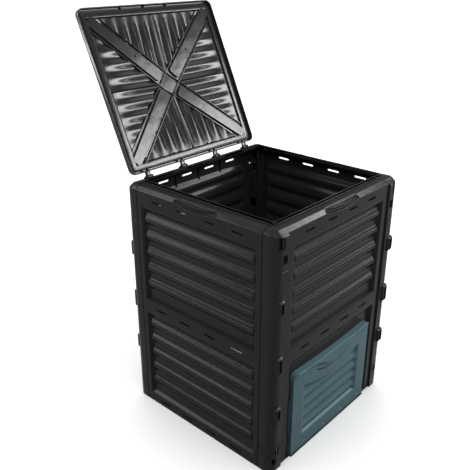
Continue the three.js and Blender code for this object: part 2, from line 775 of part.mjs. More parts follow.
/** One ribbed sector of the deck, from the lid's middle out to a border. */
function deckSector(reach, breadth, turn) {
  const folds = Math.ceil(breadth / deckPitch);
  const line = [];
  for (let fold = -folds; fold <= folds; fold += 1) {
    const crest = fold * deckPitch;
    const valley = crest + deckPitch / 2;
    line.push([crest - foldCrestHalf, 0], [crest + foldCrestHalf, 0]);
    line.push([valley - foldValleyHalf, deckFoldDepth], [valley + foldValleyHalf, deckFoldDepth]);
  }
  const top = line.map(([x, z]) => [x, z + skin]).reverse();
  const shape = new THREE.Shape([...line, ...top].map(([x, z]) => new THREE.Vector2(x, z)));
  const end = reach + deckBorderLap;
  const slope = (deckCentreRise - deckEdgeRise) / reach;
  const geometry = new THREE.ExtrudeGeometry(shape, { depth: end, bevelEnabled: false });
  geometry.rotateX(Math.PI / 2).translate(0, end, 0);
  geometry.applyMatrix4(sloped(0, -slope, deckCentreRise)).rotateZ(turn);
  const gap = armWidth / 2 - deckArmLap;
  const apex = (gap * deckDiagonal) / breadth;
  const spread = (end * breadth - gap * deckDiagonal) / reach;
  const wedgePlan = [[0, apex], [spread, end], [-spread, end]];
  const wedge = column(wedgePlan, -cutOver, deckCentreRise + deckFoldDepth + cutOver);
  return solidOf(geometry).intersect(wedge.rotate([0, 0, THREE.MathUtils.radToDeg(turn)]));
}

/** One arm of the cross on the deck's underside, or the groove in it, from the middle to a corner. */
function lidArm(angle, width, floor) {
  const half = width / 2;
  const end = deckDiagonal + seatOverlap;
  const slope = (armCentreRise - armEdgeRise) / deckDiagonal;
  const height = floor > 0 ? armThickness + cutOver : armThickness;
  const geometry = new THREE.BoxGeometry(end + half, width, height);
  geometry.translate((end - half) / 2, 0, floor + height / 2);
  return solidOf(geometry.applyMatrix4(sloped(-slope, 0, armCentreRise)).rotateZ(angle));
}

/** One hinge arm of the lid, with its knuckle and the heel that stops the open lid, about the hinge line. */
function hingeArm(station) {
  const from = station - hingeArmHalf;
  const to = station + hingeArmHalf;
  const root = lidHalfLength - skin - hingeBack;
  const arm = box([from, to], [root, 0], [-hingeArmDrop, knuckleRadius]);
  const heel = box([from, to], [0, heelReach], [0, heelReach]);
  return join([arm, heel, rod(knuckleRadius, from, to, 0, 0)]);
}

/** The lid about its hinge line, as it lies when it is closed. */
function lidSolid() {
  const cross = Math.atan2(deckHalfY, deckHalfX);
  const angles = [cross, Math.PI - cross, Math.PI + cross, -cross];
  const sectors = [
    deckSector(deckHalfY, deckHalfX, 0),
    deckSector(deckHalfY, deckHalfX, Math.PI),
    deckSector(deckHalfX, deckHalfY, Math.PI / 2),
    deckSector(deckHalfX, deckHalfY, -Math.PI / 2),
  ];
  const arms = angles.map((angle) => lidArm(angle, armWidth, 0));
  const grooves = angles.map((angle) => lidArm(angle, armGroove, armFloor));
  const windowTop = armCentreRise + armThickness + cutOver;
  const window = box([-deckHalfX, deckHalfX], [-deckHalfY, deckHalfY], [-cutOver, windowTop]);
  const crossSolid = cut(join(arms), [join(grooves).intersect(window)]);
  const shell = join([lidFrame(), ...sectors, crossSolid]).translate([0, -hingeBack, lidLift]);
  const bores = hingeStations.map((station) =>
    rod(pinRadius + pinPlay, station - hingeArmHalf - cutOver, station + hingeArmHalf + cutOver, 0, 0),
  );
  return cut(join([shell, ...hingeStations.map(hingeArm)]), bores);
}

/** A named mesh of one solid. */
function piece(name, solid, material) {
  const mesh = new THREE.Mesh(geometryOf(solid), material);
  mesh.name = name;
  return mesh;
}

/** A group of pieces, turned about z and placed. */
function wall(x, y, turn, pieces) {
  const group = new THREE.Group();
  group.position.set(x, y, 0);
  group.rotation.z = turn;
  group.add(...pieces);
  return group;
}

const bin = new THREE.Group();
const upperCorners = cornerUpperPanel();

bin.add(
  wall(0, -railHalf, 0, [
    piece("front_upper_panel", withScoop(upperCorners), plastic),
    piece("front_lower_panel", frontLowerPanel(), plastic),
    piece("front_left_post", postSolid(-1), plastic),
    piece("front_right_post", postSolid(1), plastic),
    piece("hatch", hatchSolid(), tealPlastic),
  ]),
  wall(0, railHalf, Math.PI, [
    piece("back_upper_panel", hingeStations.reduce(withHingeBlock, upperCorners), plastic),
    piece("back_lower_panel", backLowerPanel(), plastic),
    piece("back_right_post", postSolid(-1), plastic),
    piece("back_left_post", postSolid(1), plastic),
  ]),
  wall(-bodyHalf, 0, -Math.PI / 2, [
    piece("left_upper_panel", sideUpperPanel(), plastic),
    piece("left_lower_panel", sideLowerPanel(), plastic),
  ]),
  wall(bodyHalf, 0, Math.PI / 2, [
    piece("right_upper_panel", sideUpperPanel(), plastic),
    piece("right_lower_panel", sideLowerPanel(), plastic),
  ]),
);

hingeStations.forEach((station, index) => {
  bin.add(piece(`hinge_pin_${index + 1}`, hingePin(station), pinPlastic));
});

const lid = new THREE.Group();
lid.position.set(0, hingeBack, hingeHeight);
lid.rotation.x = -openAngle;
lid.add(piece("lid", lidSolid(), lidPlastic));
bin.add(lid);

export default bin;
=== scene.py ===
"""A square garden composter of moulded plastic with its lid open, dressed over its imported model."""

import json
import logging
import math
from collections.abc import Callable, Iterable, Sequence
from dataclasses import dataclass, field
from enum import Enum

import bmesh
import bpy
import numpy as np
from mathutils import Matrix, Vector

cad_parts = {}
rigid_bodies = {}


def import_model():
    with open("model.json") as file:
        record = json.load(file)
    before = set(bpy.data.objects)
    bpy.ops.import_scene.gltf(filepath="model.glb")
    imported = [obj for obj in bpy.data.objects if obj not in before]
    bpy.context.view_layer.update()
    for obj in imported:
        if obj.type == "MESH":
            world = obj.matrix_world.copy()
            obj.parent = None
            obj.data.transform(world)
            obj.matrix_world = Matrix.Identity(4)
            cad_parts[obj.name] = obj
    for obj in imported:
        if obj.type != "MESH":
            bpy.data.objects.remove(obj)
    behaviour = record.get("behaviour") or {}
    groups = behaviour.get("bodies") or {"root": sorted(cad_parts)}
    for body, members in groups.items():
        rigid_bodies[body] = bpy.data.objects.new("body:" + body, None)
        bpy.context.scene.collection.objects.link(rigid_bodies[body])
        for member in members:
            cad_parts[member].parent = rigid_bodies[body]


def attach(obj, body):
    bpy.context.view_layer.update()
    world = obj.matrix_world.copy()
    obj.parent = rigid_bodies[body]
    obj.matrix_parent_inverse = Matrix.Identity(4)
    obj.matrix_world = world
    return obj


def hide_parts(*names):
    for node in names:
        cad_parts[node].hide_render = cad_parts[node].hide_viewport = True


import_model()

LOG = logging.getLogger("composter")
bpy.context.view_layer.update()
MM = 0.001
CREASE = math.radians(38)
Point = tuple[float, ...]


class Value:
    """A socket of a node tree that ordinary sums turn into Math nodes."""

    def __init__(self, graph: "Graph", socket: bpy.types.NodeSocket) -> None:
        """Keep the tree and the socket that carries the number."""
        self.graph = graph
        self.socket = socket

    def __add__(self, other: "Value | float") -> "Value":
        """The sum of two values."""
        return self.graph.math("ADD", self, other)

    def __sub__(self, other: "Value | float") -> "Value":
        """The difference of two values."""
        return self.graph.math("SUBTRACT", self, other)

    def __rsub__(self, other: float) -> "Value":
        """What is left of a number when the value is taken from it."""
        return self.graph.math("SUBTRACT", other, self)

    def __mul__(self, other: "Value | float") -> "Value":
        """The product of two values."""
        return self.graph.math("MULTIPLY", self, other)

    def __truediv__(self, other: "Value | float") -> "Value":
        """The quotient of two values."""
        return self.graph.math("DIVIDE", self, other)

    def __abs__(self) -> "Value":
        """The size of the value without its sign."""
        return self.graph.math("ABSOLUTE", self)

    def less(self, other: "Value | float") -> "Value":
        """One where this value is below the other, or nought."""
        return self.graph.math("LESS_THAN", self, other)

    def lower(self, other: "Value | float", softness: float) -> "Value":
        """The smaller of two values, with a rounded corner where they meet."""
        return self.graph.math("SMOOTH_MIN", self, other, softness)

    def higher(self, other: "Value | float", softness: float) -> "Value":
        """The larger of two values, with a rounded corner where they meet."""
        return self.graph.math("SMOOTH_MAX", self, other, softness)


class Graph:
    """A node tree, for a surface or a shape, that is written as sums."""

    def __init__(self, tree: bpy.types.NodeTree) -> None:
        """Start on an empty tree."""
        self.tree = tree

    def node(self, kind: str, **settings: object) -> bpy.types.Node:
        """Add a node.

        Args:
            kind: Blender's name of the node type.
            settings: properties of the node to set.

        Returns:
            The new node.
        """
        made = self.tree.nodes.new(kind)
        for name, value in settings.items():
            setattr(made, name, value)
        return made

    def feed(self, socket: bpy.types.NodeSocket, value: object) -> None:
        """Link or set an input.

        Args:
            socket: the input.
            value: a Value, another socket, or a plain constant.
        """
        if isinstance(value, Value):
            self.tree.links.new(value.socket, socket)
        elif isinstance(value, bpy.types.NodeSocket):
            self.tree.links.new(value, socket)
        else:
            socket.default_value = value

    def math(self, operation: str, *values: "Value | float") -> Value:
        """Add a Math node.

        Args:
            operation: Blender's name of the sum.
            values: its inputs in order.

        Returns:
            The result.
        """
        made = self.node("ShaderNodeMath", operation=operation)
        for socket, value in zip(made.inputs, values):
            self.feed(socket, value)
        return Value(self, made.outputs[0])


class Shaper(Graph):
    """A Geometry Nodes tree whose sizes are named inputs."""

    def __init__(self, name: str, sizes: dict[str, float]) -> None:
        """Make the tree with its geometry socket and one input for each size.

        Args:
            name: the tree's name.
            sizes: the named sizes, in metres or as counts.
        """
        super().__init__(bpy.data.node_groups.new(name, "GeometryNodeTree"))
        face = self.tree.interface
        face.new_socket(name="Geometry", in_out="INPUT", socket_type="NodeSocketGeometry")
        face.new_socket(name="Geometry", in_out="OUTPUT", socket_type="NodeSocketGeometry")
        self.sizes = sizes
        self.identifiers = {}
        for size in sizes:
            socket = face.new_socket(name=size, in_out="INPUT", socket_type="NodeSocketFloat")
            self.identifiers[size] = socket.identifier
        self.entry = self.node("NodeGroupInput")
        self.geometry = self.entry.outputs["Geometry"]

    def size(self, name: str) -> Value:
        """The named size as a value."""
        return Value(self, self.entry.outputs[name])

    def place(self) -> tuple[Value, Value, Value]:
        """The x, y and z of each point."""
        parts = self.node("ShaderNodeSeparateXYZ")
        self.feed(parts.inputs[0], self.node("GeometryNodeInputPosition").outputs[0])
        return tuple(Value(self, socket) for socket in parts.outputs)

    def move(self, x: "Value | float", y: "Value | float", z: "Value | float") -> None:
        """Shift every point by three values."""
        offset = self.node("ShaderNodeCombineXYZ")
        for socket, value in zip(offset.inputs, (x, y, z)):
            self.feed(socket, value)
        setter = self.node("GeometryNodeSetPosition")
        self.feed(setter.inputs["Geometry"], self.geometry)
        self.feed(setter.inputs["Offset"], offset.outputs[0])
        self.geometry = setter.outputs[0]

    def from_nearest(self, place: Value, first: Value, pitch: Value, count: int) -> Value:
        """How far a place lies past the nearest of several ridges in a row."""
        nearest = self.math("ROUND", (place - first) / pitch)
        index = nearest.lower(count - 1.0, 0.0).higher(0.0, 0.0)
        return place - first - index * pitch

    def wrapped(self, place: Value, pitch: Value) -> Value:
        """How far a place lies past the nearest of an endless row of middles."""
        return self.math("WRAP", place, pitch / 2, pitch * -0.5)

    def remove_faces(self, choice: Value) -> None:
        """Delete the faces where the choice is one."""
        made = self.node("GeometryNodeDeleteGeometry", domain="FACE")
        self.feed(made.inputs["Geometry"], self.geometry)
        self.feed(made.inputs["Selection"], choice)
        self.geometry = made.outputs[0]

    def shape(self, base: bpy.types.Object, material: bpy.types.Material, wall: float) -> bpy.types.Object:
        """Run the tree on a sheet and keep the result as a plain mesh with a wall.

        Args:
            base: the sheet that it works on, which it uses up.
            material: the finish of the result.
            wall: the thickness that the sheet gets, in metres, on the side away from its normals.

        Returns:
            The finished object.
        """
        real = self.node("GeometryNodeRealizeInstances")
        self.feed(real.inputs[0], self.geometry)
        dress = self.node("GeometryNodeSetMaterial")
        self.feed(dress.inputs["Geometry"], real.outputs[0])
        dress.inputs["Material"].default_value = material
        self.feed(self.node("NodeGroupOutput").inputs[0], dress.outputs[0])
        modifier = base.modifiers.new("shape", "NODES")
        modifier.node_group = self.tree
        for name, value in self.sizes.items():
            modifier[self.identifiers[name]] = float(value)
        thicken(base, wall)
        return baked(base)


def named_sizes(owner: object, *names: str) -> dict[str, float]:
    """The inputs of a tree, in metres, from fields in millimetres and under the fields' own names."""
    return {name.replace("_", " ").capitalize(): getattr(owner, name) * MM for name in names}


def linked(name: str, mesh: bpy.types.Mesh) -> bpy.types.Object:
    """A new object of a mesh, in the scene."""
    made = bpy.data.objects.new(name, mesh)
    bpy.context.scene.collection.objects.link(made)
    return made


def built(name: str, points: Iterable[Point], faces: Iterable[Sequence[int]]) -> bpy.types.Object:
    """An object from its points and faces."""
    mesh = bpy.data.meshes.new(name)
    mesh.from_pydata([tuple(point) for point in points], [], [tuple(face) for face in faces])
    return linked(name, mesh)


def baked(piece: bpy.types.Object) -> bpy.types.Object:
    """The piece as a plain mesh, with its modifiers worked out."""
    bpy.context.view_layer.update()
    graph = bpy.context.evaluated_depsgraph_get()
    mesh = bpy.data.meshes.new_from_object(piece.evaluated_get(graph), depsgraph=graph)
    name = piece.name
    bpy.data.objects.remove(piece)
    mesh.name = name
    return linked(name, mesh)


def thicken(piece: bpy.types.Object, wall: float) -> None:
    """Give a sheet its wall, on the side away from its normals."""
    modifier = piece.modifiers.new("wall", "SOLIDIFY")
    modifier.thickness = wall
    modifier.offset = -1.0
    modifier.use_even_offset = True
    modifier.use_rim = True


def grid(count: int, width: int) -> list[tuple[int, ...]]:
    """The faces between rows of points, by the number of rows and the points in each."""
    return [
        (r * width + c, r * width + c + 1, (r + 1) * width + c + 1, (r + 1) * width + c)
        for r in range(count - 1)
        for c in range(width - 1)
    ]


def sheet(name: str, rows: np.ndarray) -> bpy.types.Object:
    """A sheet through rows of points, [row, column, xyz], with its normal on the side that shows."""
    return built(name, rows.reshape(-1, 3), grid(*rows.shape[:2]))


def filleted(
    corners: Sequence[Sequence[float]], radius: float, steps: int = 3, closed: bool = False
) -> np.ndarray:
    """A line through corners that are each rounded into the same number of points.

    Args:
        corners: the corners, each with two or more coordinates.
        radius: how far from a corner its rounding starts, less on short stretches.
        steps: stretches in a rounded corner.
        closed: whether the line runs back to its start.

    Returns:
        The points of the line.
    """
    given = [np.array(corner, float) for corner in corners]
    count = len(given)
    points = [] if closed else [given[0]]
    for index in range(0 if closed else 1, count if closed else count - 1):
        before, here, after = given[index - 1], given[index], given[(index + 1) % count]
        back, ahead = before - here, after - here
        near = min(radius, np.linalg.norm(back) * 0.45, np.linalg.norm(ahead) * 0.45)
        start = here + back * (near / max(np.linalg.norm(back), 1e-9))
        stop = here + ahead * (near / max(np.linalg.norm(ahead), 1e-9))
        for step in range(steps + 1):
            t = step / steps
            points.append(start * (1 - t) ** 2 + here * 2 * t * (1 - t) + stop * t * t)
    if not closed:
        points.append(given[-1])
    return np.array(points)


def block(low: Point, high: Point, radius: float = 0.8, segments: int = 2) -> bpy.types.Object:
    """A block with rounded edges between two corners in millimetres, given in any order."""
    ends = [sorted((a * MM, b * MM)) for a, b in zip(low, high)]
    size = [b - a for a, b in ends]
    limit = min(radius * MM, min(size) * 0.45)
    mesh = bpy.data.meshes.new("block")
    shape = bmesh.new()
    bmesh.ops.create_cube(shape, size=1.0)
    bmesh.ops.scale(shape, vec=size, verts=shape.verts)
    bmesh.ops.translate(shape, vec=[(a + b) / 2 for a, b in ends], verts=shape.verts)
    bmesh.ops.bevel(shape, geom=shape.edges, offset=limit, segments=segments, profile=0.5, affect="EDGES")
    shape.to_mesh(mesh)
    shape.free()
    return linked("block", mesh)


def rod(name: str, radius: float, start: Point, length: float, edge: float) -> bpy.types.Object:
    """A round rod along x from a point, with rounded ends, in millimetres."""
    turn = np.linspace(0, 2 * math.pi, 32, endpoint=False)
    circle = np.column_stack([np.zeros_like(turn), np.cos(turn), np.sin(turn)])
    line = filleted([(0, 0), (0, radius), (length, radius), (length, 0)], edge, 3)[1:-1]
    rings = [np.array(start) + np.array([x, 0, 0]) + circle * r for x, r in line]
    return tube(name, np.array(rings) * MM)


def outward(piece: bpy.types.Object) -> bpy.types.Object:
    """A closed piece with its normals turned outwards."""
    shape = bmesh.new()
    shape.from_mesh(piece.data)
    bmesh.ops.recalc_face_normals(shape, faces=shape.faces)
    shape.to_mesh(piece.data)
    shape.free()
    return piece


def tube(name: str, rings: np.ndarray, closed: bool = False) -> bpy.types.Object:
    """A solid through rings of points, [ring, point, xyz], with its ends capped or run together."""
    count, width = rings.shape[:2]
    faces = []
    for ring in range(count if closed else count - 1):
        for place in range(width):
            here, there = ring * width, (ring + 1) % count * width
            step = (place + 1) % width
            faces.append((here + place, here + step, there + step, there + place))
    if not closed:
        faces.append(tuple(range(width)))
        faces.append(tuple(range((count - 1) * width, count * width)))
    return outward(built(name, rings.reshape(-1, 3), faces))


def rounded_plan(half_x: float, half_y: float, radius: float, steps: int = 8) -> np.ndarray:
    """The points of a rectangle with round corners about the origin."""
    points = []
    for quarter, (side_x, side_y) in enumerate(((1, 1), (-1, 1), (-1, -1), (1, -1))):
        for step in range(steps + 1):
            angle = (quarter + step / steps) * math.pi / 2
            x = side_x * (half_x - radius) + radius * math.cos(angle)
            y = side_y * (half_y - radius) + radius * math.sin(angle)
            points.append((x, y))
    return np.array(points)


def joined(name: str, pieces: Sequence[bpy.types.Object]) -> bpy.types.Object:
    """One object made of several, which are used up."""
    shape = bmesh.new()
    for piece in pieces:
        shape.from_mesh(piece.data)
        bpy.data.objects.remove(piece)
    mesh = bpy.data.meshes.new(name)
    shape.to_mesh(mesh)
    shape.free()
    return linked(name, mesh)


def carved(piece: bpy.types.Object, cutters: Sequence[bpy.types.Object]) -> bpy.types.Object:
    """A piece with cutters taken out of it, which are used up."""
    cutter = joined("cutter", cutters)
    modifier = piece.modifiers.new("cut", "BOOLEAN")
    modifier.operation = "DIFFERENCE"
    modifier.solver = "EXACT"
    modifier.object = cutter
    result = baked(piece)
    bpy.data.objects.remove(cutter)
    return result


def moved(piece: bpy.types.Object, place: Matrix) -> bpy.types.Object:
    """A piece with its mesh carried to a place."""
    piece.data.transform(place)
    if place.determinant() < 0:
        piece.data.flip_normals()
    return piece


def copied(piece: bpy.types.Object, name: str, place: Matrix) -> bpy.types.Object:
    """A copy of a piece in another place."""
    return moved(linked(name, piece.data.copy()), place)


HALF_WIDTH, HALF_DEPTH = 305.0, 288.5


class Wall(Enum):
    """The four walls: where each one's rail stands, in millimetres, and its turn in degrees."""

    FRONT = (0.0, -HALF_DEPTH, 0.0)
    BACK = (0.0, HALF_DEPTH, 180.0)
    LEFT = (-HALF_WIDTH, 0.0, -90.0)
    RIGHT = (HALF_WIDTH, 0.0, 90.0)

    @property
    def place(self) -> Matrix:
        """From the wall's own frame, x along it, y inwards and z up, to the bin's."""
        x, y, turn = self.value
        return Matrix.Translation((x * MM, y * MM, 0)) @ Matrix.Rotation(math.radians(turn), 4, "Z")


@dataclass(frozen=True)
class Finish:
    """A moulded plastic with its colour, gloss and grain."""

    slot: str
    colour: tuple[float, float, float]
    roughness: float
    mottle: float = 0.12
    grain: float = 0.25
    warp: float = 0.5
    specular: float = 0.5
    cloud_scale: float = 9.0
    streak_scale: float = 70.0
    grit_scale: float = 1400.0
    wave_scale: float = 16.0
    streak_share: float = 0.6
    streak_sheen: float = 0.12
    grit_sheen: float = 0.06
    wave_height: float = 0.0012
    grit_height: float = 0.00006

    def material(self) -> bpy.types.Material:
        """Build the finish as a node material.

        Returns:
            The material, which reads Object coordinates only.
        """
        made = bpy.data.materials.new(self.slot)
        made.use_nodes = True
        graph = Graph(made.node_tree)
        shader = made.node_tree.nodes["Principled BSDF"]
        coordinates = graph.node("ShaderNodeTexCoord").outputs["Object"]
        cloud = self.noise(graph, coordinates, self.cloud_scale, 3.0)
        streak = self.noise(graph, coordinates, self.streak_scale, 4.0)
        fine = self.noise(graph, coordinates, self.grit_scale, 2.0)
        wave = self.noise(graph, coordinates, self.wave_scale, 2.0)
        shade = (cloud - 0.5) * self.mottle + (streak - 0.5) * (self.mottle * self.streak_share) + 1.0
        tint = graph.node("ShaderNodeVectorMath", operation="SCALE")
        tint.inputs[0].default_value = self.colour
        graph.feed(tint.inputs["Scale"], shade)
        graph.feed(shader.inputs["Base Color"], tint.outputs[0])
        sheen = (streak - 0.5) * self.streak_sheen + (fine - 0.5) * self.grit_sheen + self.roughness
        graph.feed(shader.inputs["Roughness"], sheen)
        shader.inputs["Specular IOR Level"].default_value = self.specular
        waves = self.bump(graph, self.warp, self.wave_height, wave)
        grit = self.bump(graph, self.grain, self.grit_height, fine)
        graph.feed(grit.inputs["Normal"], waves.outputs[0])
        graph.feed(shader.inputs["Normal"], grit.outputs[0])
        return made

    @staticmethod
    def bump(graph: Graph, strength: float, height: float, pattern: Value) -> bpy.types.Node:
        """A bump that follows a pattern, by its strength and its height in metres."""
        made = graph.node("ShaderNodeBump")
        made.inputs["Strength"].default_value = strength
        made.inputs["Distance"].default_value = height
        graph.feed(made.inputs["Height"], pattern)
        return made

    @staticmethod
    def noise(graph: Graph, coordinates: bpy.types.NodeSocket, scale: float, detail: float) -> Value:
        """A noise pattern as a value from nought to one."""
        made = graph.node("ShaderNodeTexNoise")
        graph.feed(made.inputs["Vector"], coordinates)
        made.inputs["Scale"].default_value = scale
        made.inputs["Detail"].default_value = detail
        return Value(graph, made.outputs["Fac"])


BLACK = Finish("black_plastic", (0.0092, 0.0092, 0.0096), 0.20, specular=0.046)
LID_BLACK = Finish("lid_plastic", (0.0085, 0.0085, 0.0096), 0.215, warp=0.8, specular=0.20)
TEAL = Finish("teal_plastic", (0.0245, 0.045, 0.0515), 0.34, specular=0.07)
PIN_BLACK = Finish("pin_plastic", (0.009, 0.009, 0.0095), 0.3, specular=0.14)


def unlit_by(name: str) -> bpy.types.Collection:
    """An empty collection for what a light leaves out."""
    return bpy.data.collections.new(f"not lit by the {name}")


@dataclass(frozen=True)
class SoftBox:
    """A soft light that faces the bin.

    Its bearing is in degrees, from the bin's right-hand side towards its back, and so is its elevation. Its
    distance, width and height are in metres, and its glow is its brightness next to a white floor.
    """

    name: str
    azimuth: float
    elevation: float
    away: float
    width: float
    height: float
    glow: float


@dataclass
class Studio:
    """The camera, floor and lights."""

    position: Point = (-1.42795, -1.15438, 1.39992)
    azimuth: float = -48.26
    elevation: float = 23.88
    roll: float = 0.18
    lens: float = 48.163
    sensor: float = 36.0
    reach: float = 60.0
    floor_shade: float = 0.92
    sky: float = 0.45
    overhead: float = 3.3
    overhead_spread: float = 100.0
    gamma: float = 0.88
    target: Point = (0.0, 0.0, 0.6)
    boxes: tuple[SoftBox, ...] = (
        SoftBox("right box", -44, 26.3, 3.05, 1.3, 0.85, 34),
        SoftBox("edge box", -26, 37, 3.05, 1.0, 0.75, 34),
        SoftBox("left box", 132, 29, 3.1, 1.3, 1.4, 18),
        SoftBox("right strip", -37, 5, 3.4, 2.2, 0.3, 17),
        SoftBox("left strip", 139, 5, 3.4, 2.2, 0.34, 26),
        SoftBox("front box", 228, 40, 3.0, 1.2, 1.2, 25),
    )
    unlit: bpy.types.Collection = field(default_factory=lambda: unlit_by("soft boxes"))

    def camera(self) -> None:
        """Set the camera where the photograph was taken from."""
        data = bpy.data.cameras.new("camera")
        data.lens = self.lens
        data.sensor_width = self.sensor
        data.clip_end = self.reach
        across, up = math.radians(self.azimuth), math.radians(self.elevation)
        right = Vector((math.cos(across), math.sin(across), 0))
        back = Vector((math.sin(across) * math.cos(up), -math.cos(across) * math.cos(up), math.sin(up)))
        turned = Matrix((right, back.cross(right), back)).transposed().to_4x4()
        camera = bpy.data.objects.new("camera", data)
        roll = Matrix.Rotation(math.radians(self.roll), 4, "Z")
        camera.matrix_world = Matrix.Translation(self.position) @ turned @ roll
        bpy.context.scene.collection.objects.link(camera)
        bpy.context.scene.camera = camera

    def floor(self) -> None:
        """Lay a plain pale floor, which the soft boxes leave out."""
        reach, shade = self.reach, self.floor_shade
        corners = [(-reach, -reach, 0), (reach, -reach, 0), (reach, reach, 0), (-reach, reach, 0)]
        floor = built("floor", corners, [(0, 1, 2, 3)])
        made = bpy.data.materials.new("floor")
        made.use_nodes = True
        shader = made.node_tree.nodes["Principled BSDF"]
        shader.inputs["Base Color"].default_value = (shade, shade, shade, 1)
        shader.inputs["Roughness"].default_value = 1.0
        shader.inputs["Specular IOR Level"].default_value = 0.0
        floor.data.materials.append(made)
        self.unlit.objects.link(floor)
        self.unlit.collection_objects[0].light_linking.link_state = "EXCLUDE"

    def hang(self, box: SoftBox) -> None:
        """Hang a soft light that lights the bin and not the floor."""
        data = bpy.data.lights.new(box.name, "AREA")
        data.shape = "RECTANGLE"
        data.size, data.size_y = box.width, box.height
        data.energy = math.pi * box.width * box.height * box.glow
        lamp = bpy.data.objects.new(box.name, data)
        lamp.light_linking.receiver_collection = self.unlit
        across, up = math.radians(box.azimuth), math.radians(box.elevation)
        aim = Vector((math.cos(across) * math.cos(up), math.sin(across) * math.cos(up), math.sin(up)))
        place = Vector(self.target) + aim * box.away
        lamp.matrix_world = Matrix.Translation(place) @ aim.to_track_quat("Z", "Y").to_matrix().to_4x4()
        bpy.context.scene.collection.objects.link(lamp)

    def light(self) -> None:
        """Light the floor evenly from above and the object from soft boxes."""
        world = bpy.data.worlds.new("world")
        bpy.context.scene.world = world
        world.use_nodes = True
        sky = world.node_tree.nodes["Background"]
        sky.inputs["Color"].default_value = (1, 1, 1, 1)
        sky.inputs["Strength"].default_value = self.sky
        sun = bpy.data.lights.new("overhead", "SUN")
        sun.energy = self.overhead
        sun.angle = math.radians(self.overhead_spread)
        bpy.context.scene.collection.objects.link(bpy.data.objects.new("overhead", sun))
        for box in self.boxes:
            self.hang(box)
        bpy.context.scene.view_settings.view_transform = "Standard"
        bpy.context.scene.view_settings.gamma = self.gamma

    def flag(self, name: str, piece: bpy.types.Object) -> None:
        """Keep one soft box's light off a piece and the floor.

        Args:
            name: the soft box.
            piece: the piece that stays out of its light.
        """
        flagged = unlit_by(name)
        for shaded in (*self.unlit.objects, piece):
            flagged.objects.link(shaded)
        for entry in flagged.collection_objects:
            entry.light_linking.link_state = "EXCLUDE"
        bpy.data.objects[name].light_linking.receiver_collection = flagged

    def build(self) -> None:
        """Set up the whole studio."""
        self.camera()
        self.floor()
        self.light()


class Workshop:
    """Finishes pieces: dresses them, sets their edges and rides them on their bodies."""

    def __init__(self) -> None:
        """Mix every finish once."""
        self.materials = {finish.slot: finish.material() for finish in (BLACK, LID_BLACK, TEAL, PIN_BLACK)}

    def finish(self, piece: bpy.types.Object, finish: Finish, body: str, *nodes: str) -> None:
        """Dress a piece and hand it over.

        Args:
            piece: the finished mesh, in place.
            finish: what it is moulded in.
            body: the body that it moves with.
            nodes: the CAD nodes that it stands for.
        """
        piece.data.materials.clear()
        piece.data.materials.append(self.materials[finish.slot])
        piece.data.polygons.foreach_set("material_index", [0] * len(piece.data.polygons))
        piece.data.shade_smooth()
        piece.data.set_sharp_from_angle(angle=CREASE)
        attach(piece, body)
        if nodes:
            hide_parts(*nodes)
        LOG.info("%s: %d faces on %s", piece.name, len(piece.data.polygons), body)


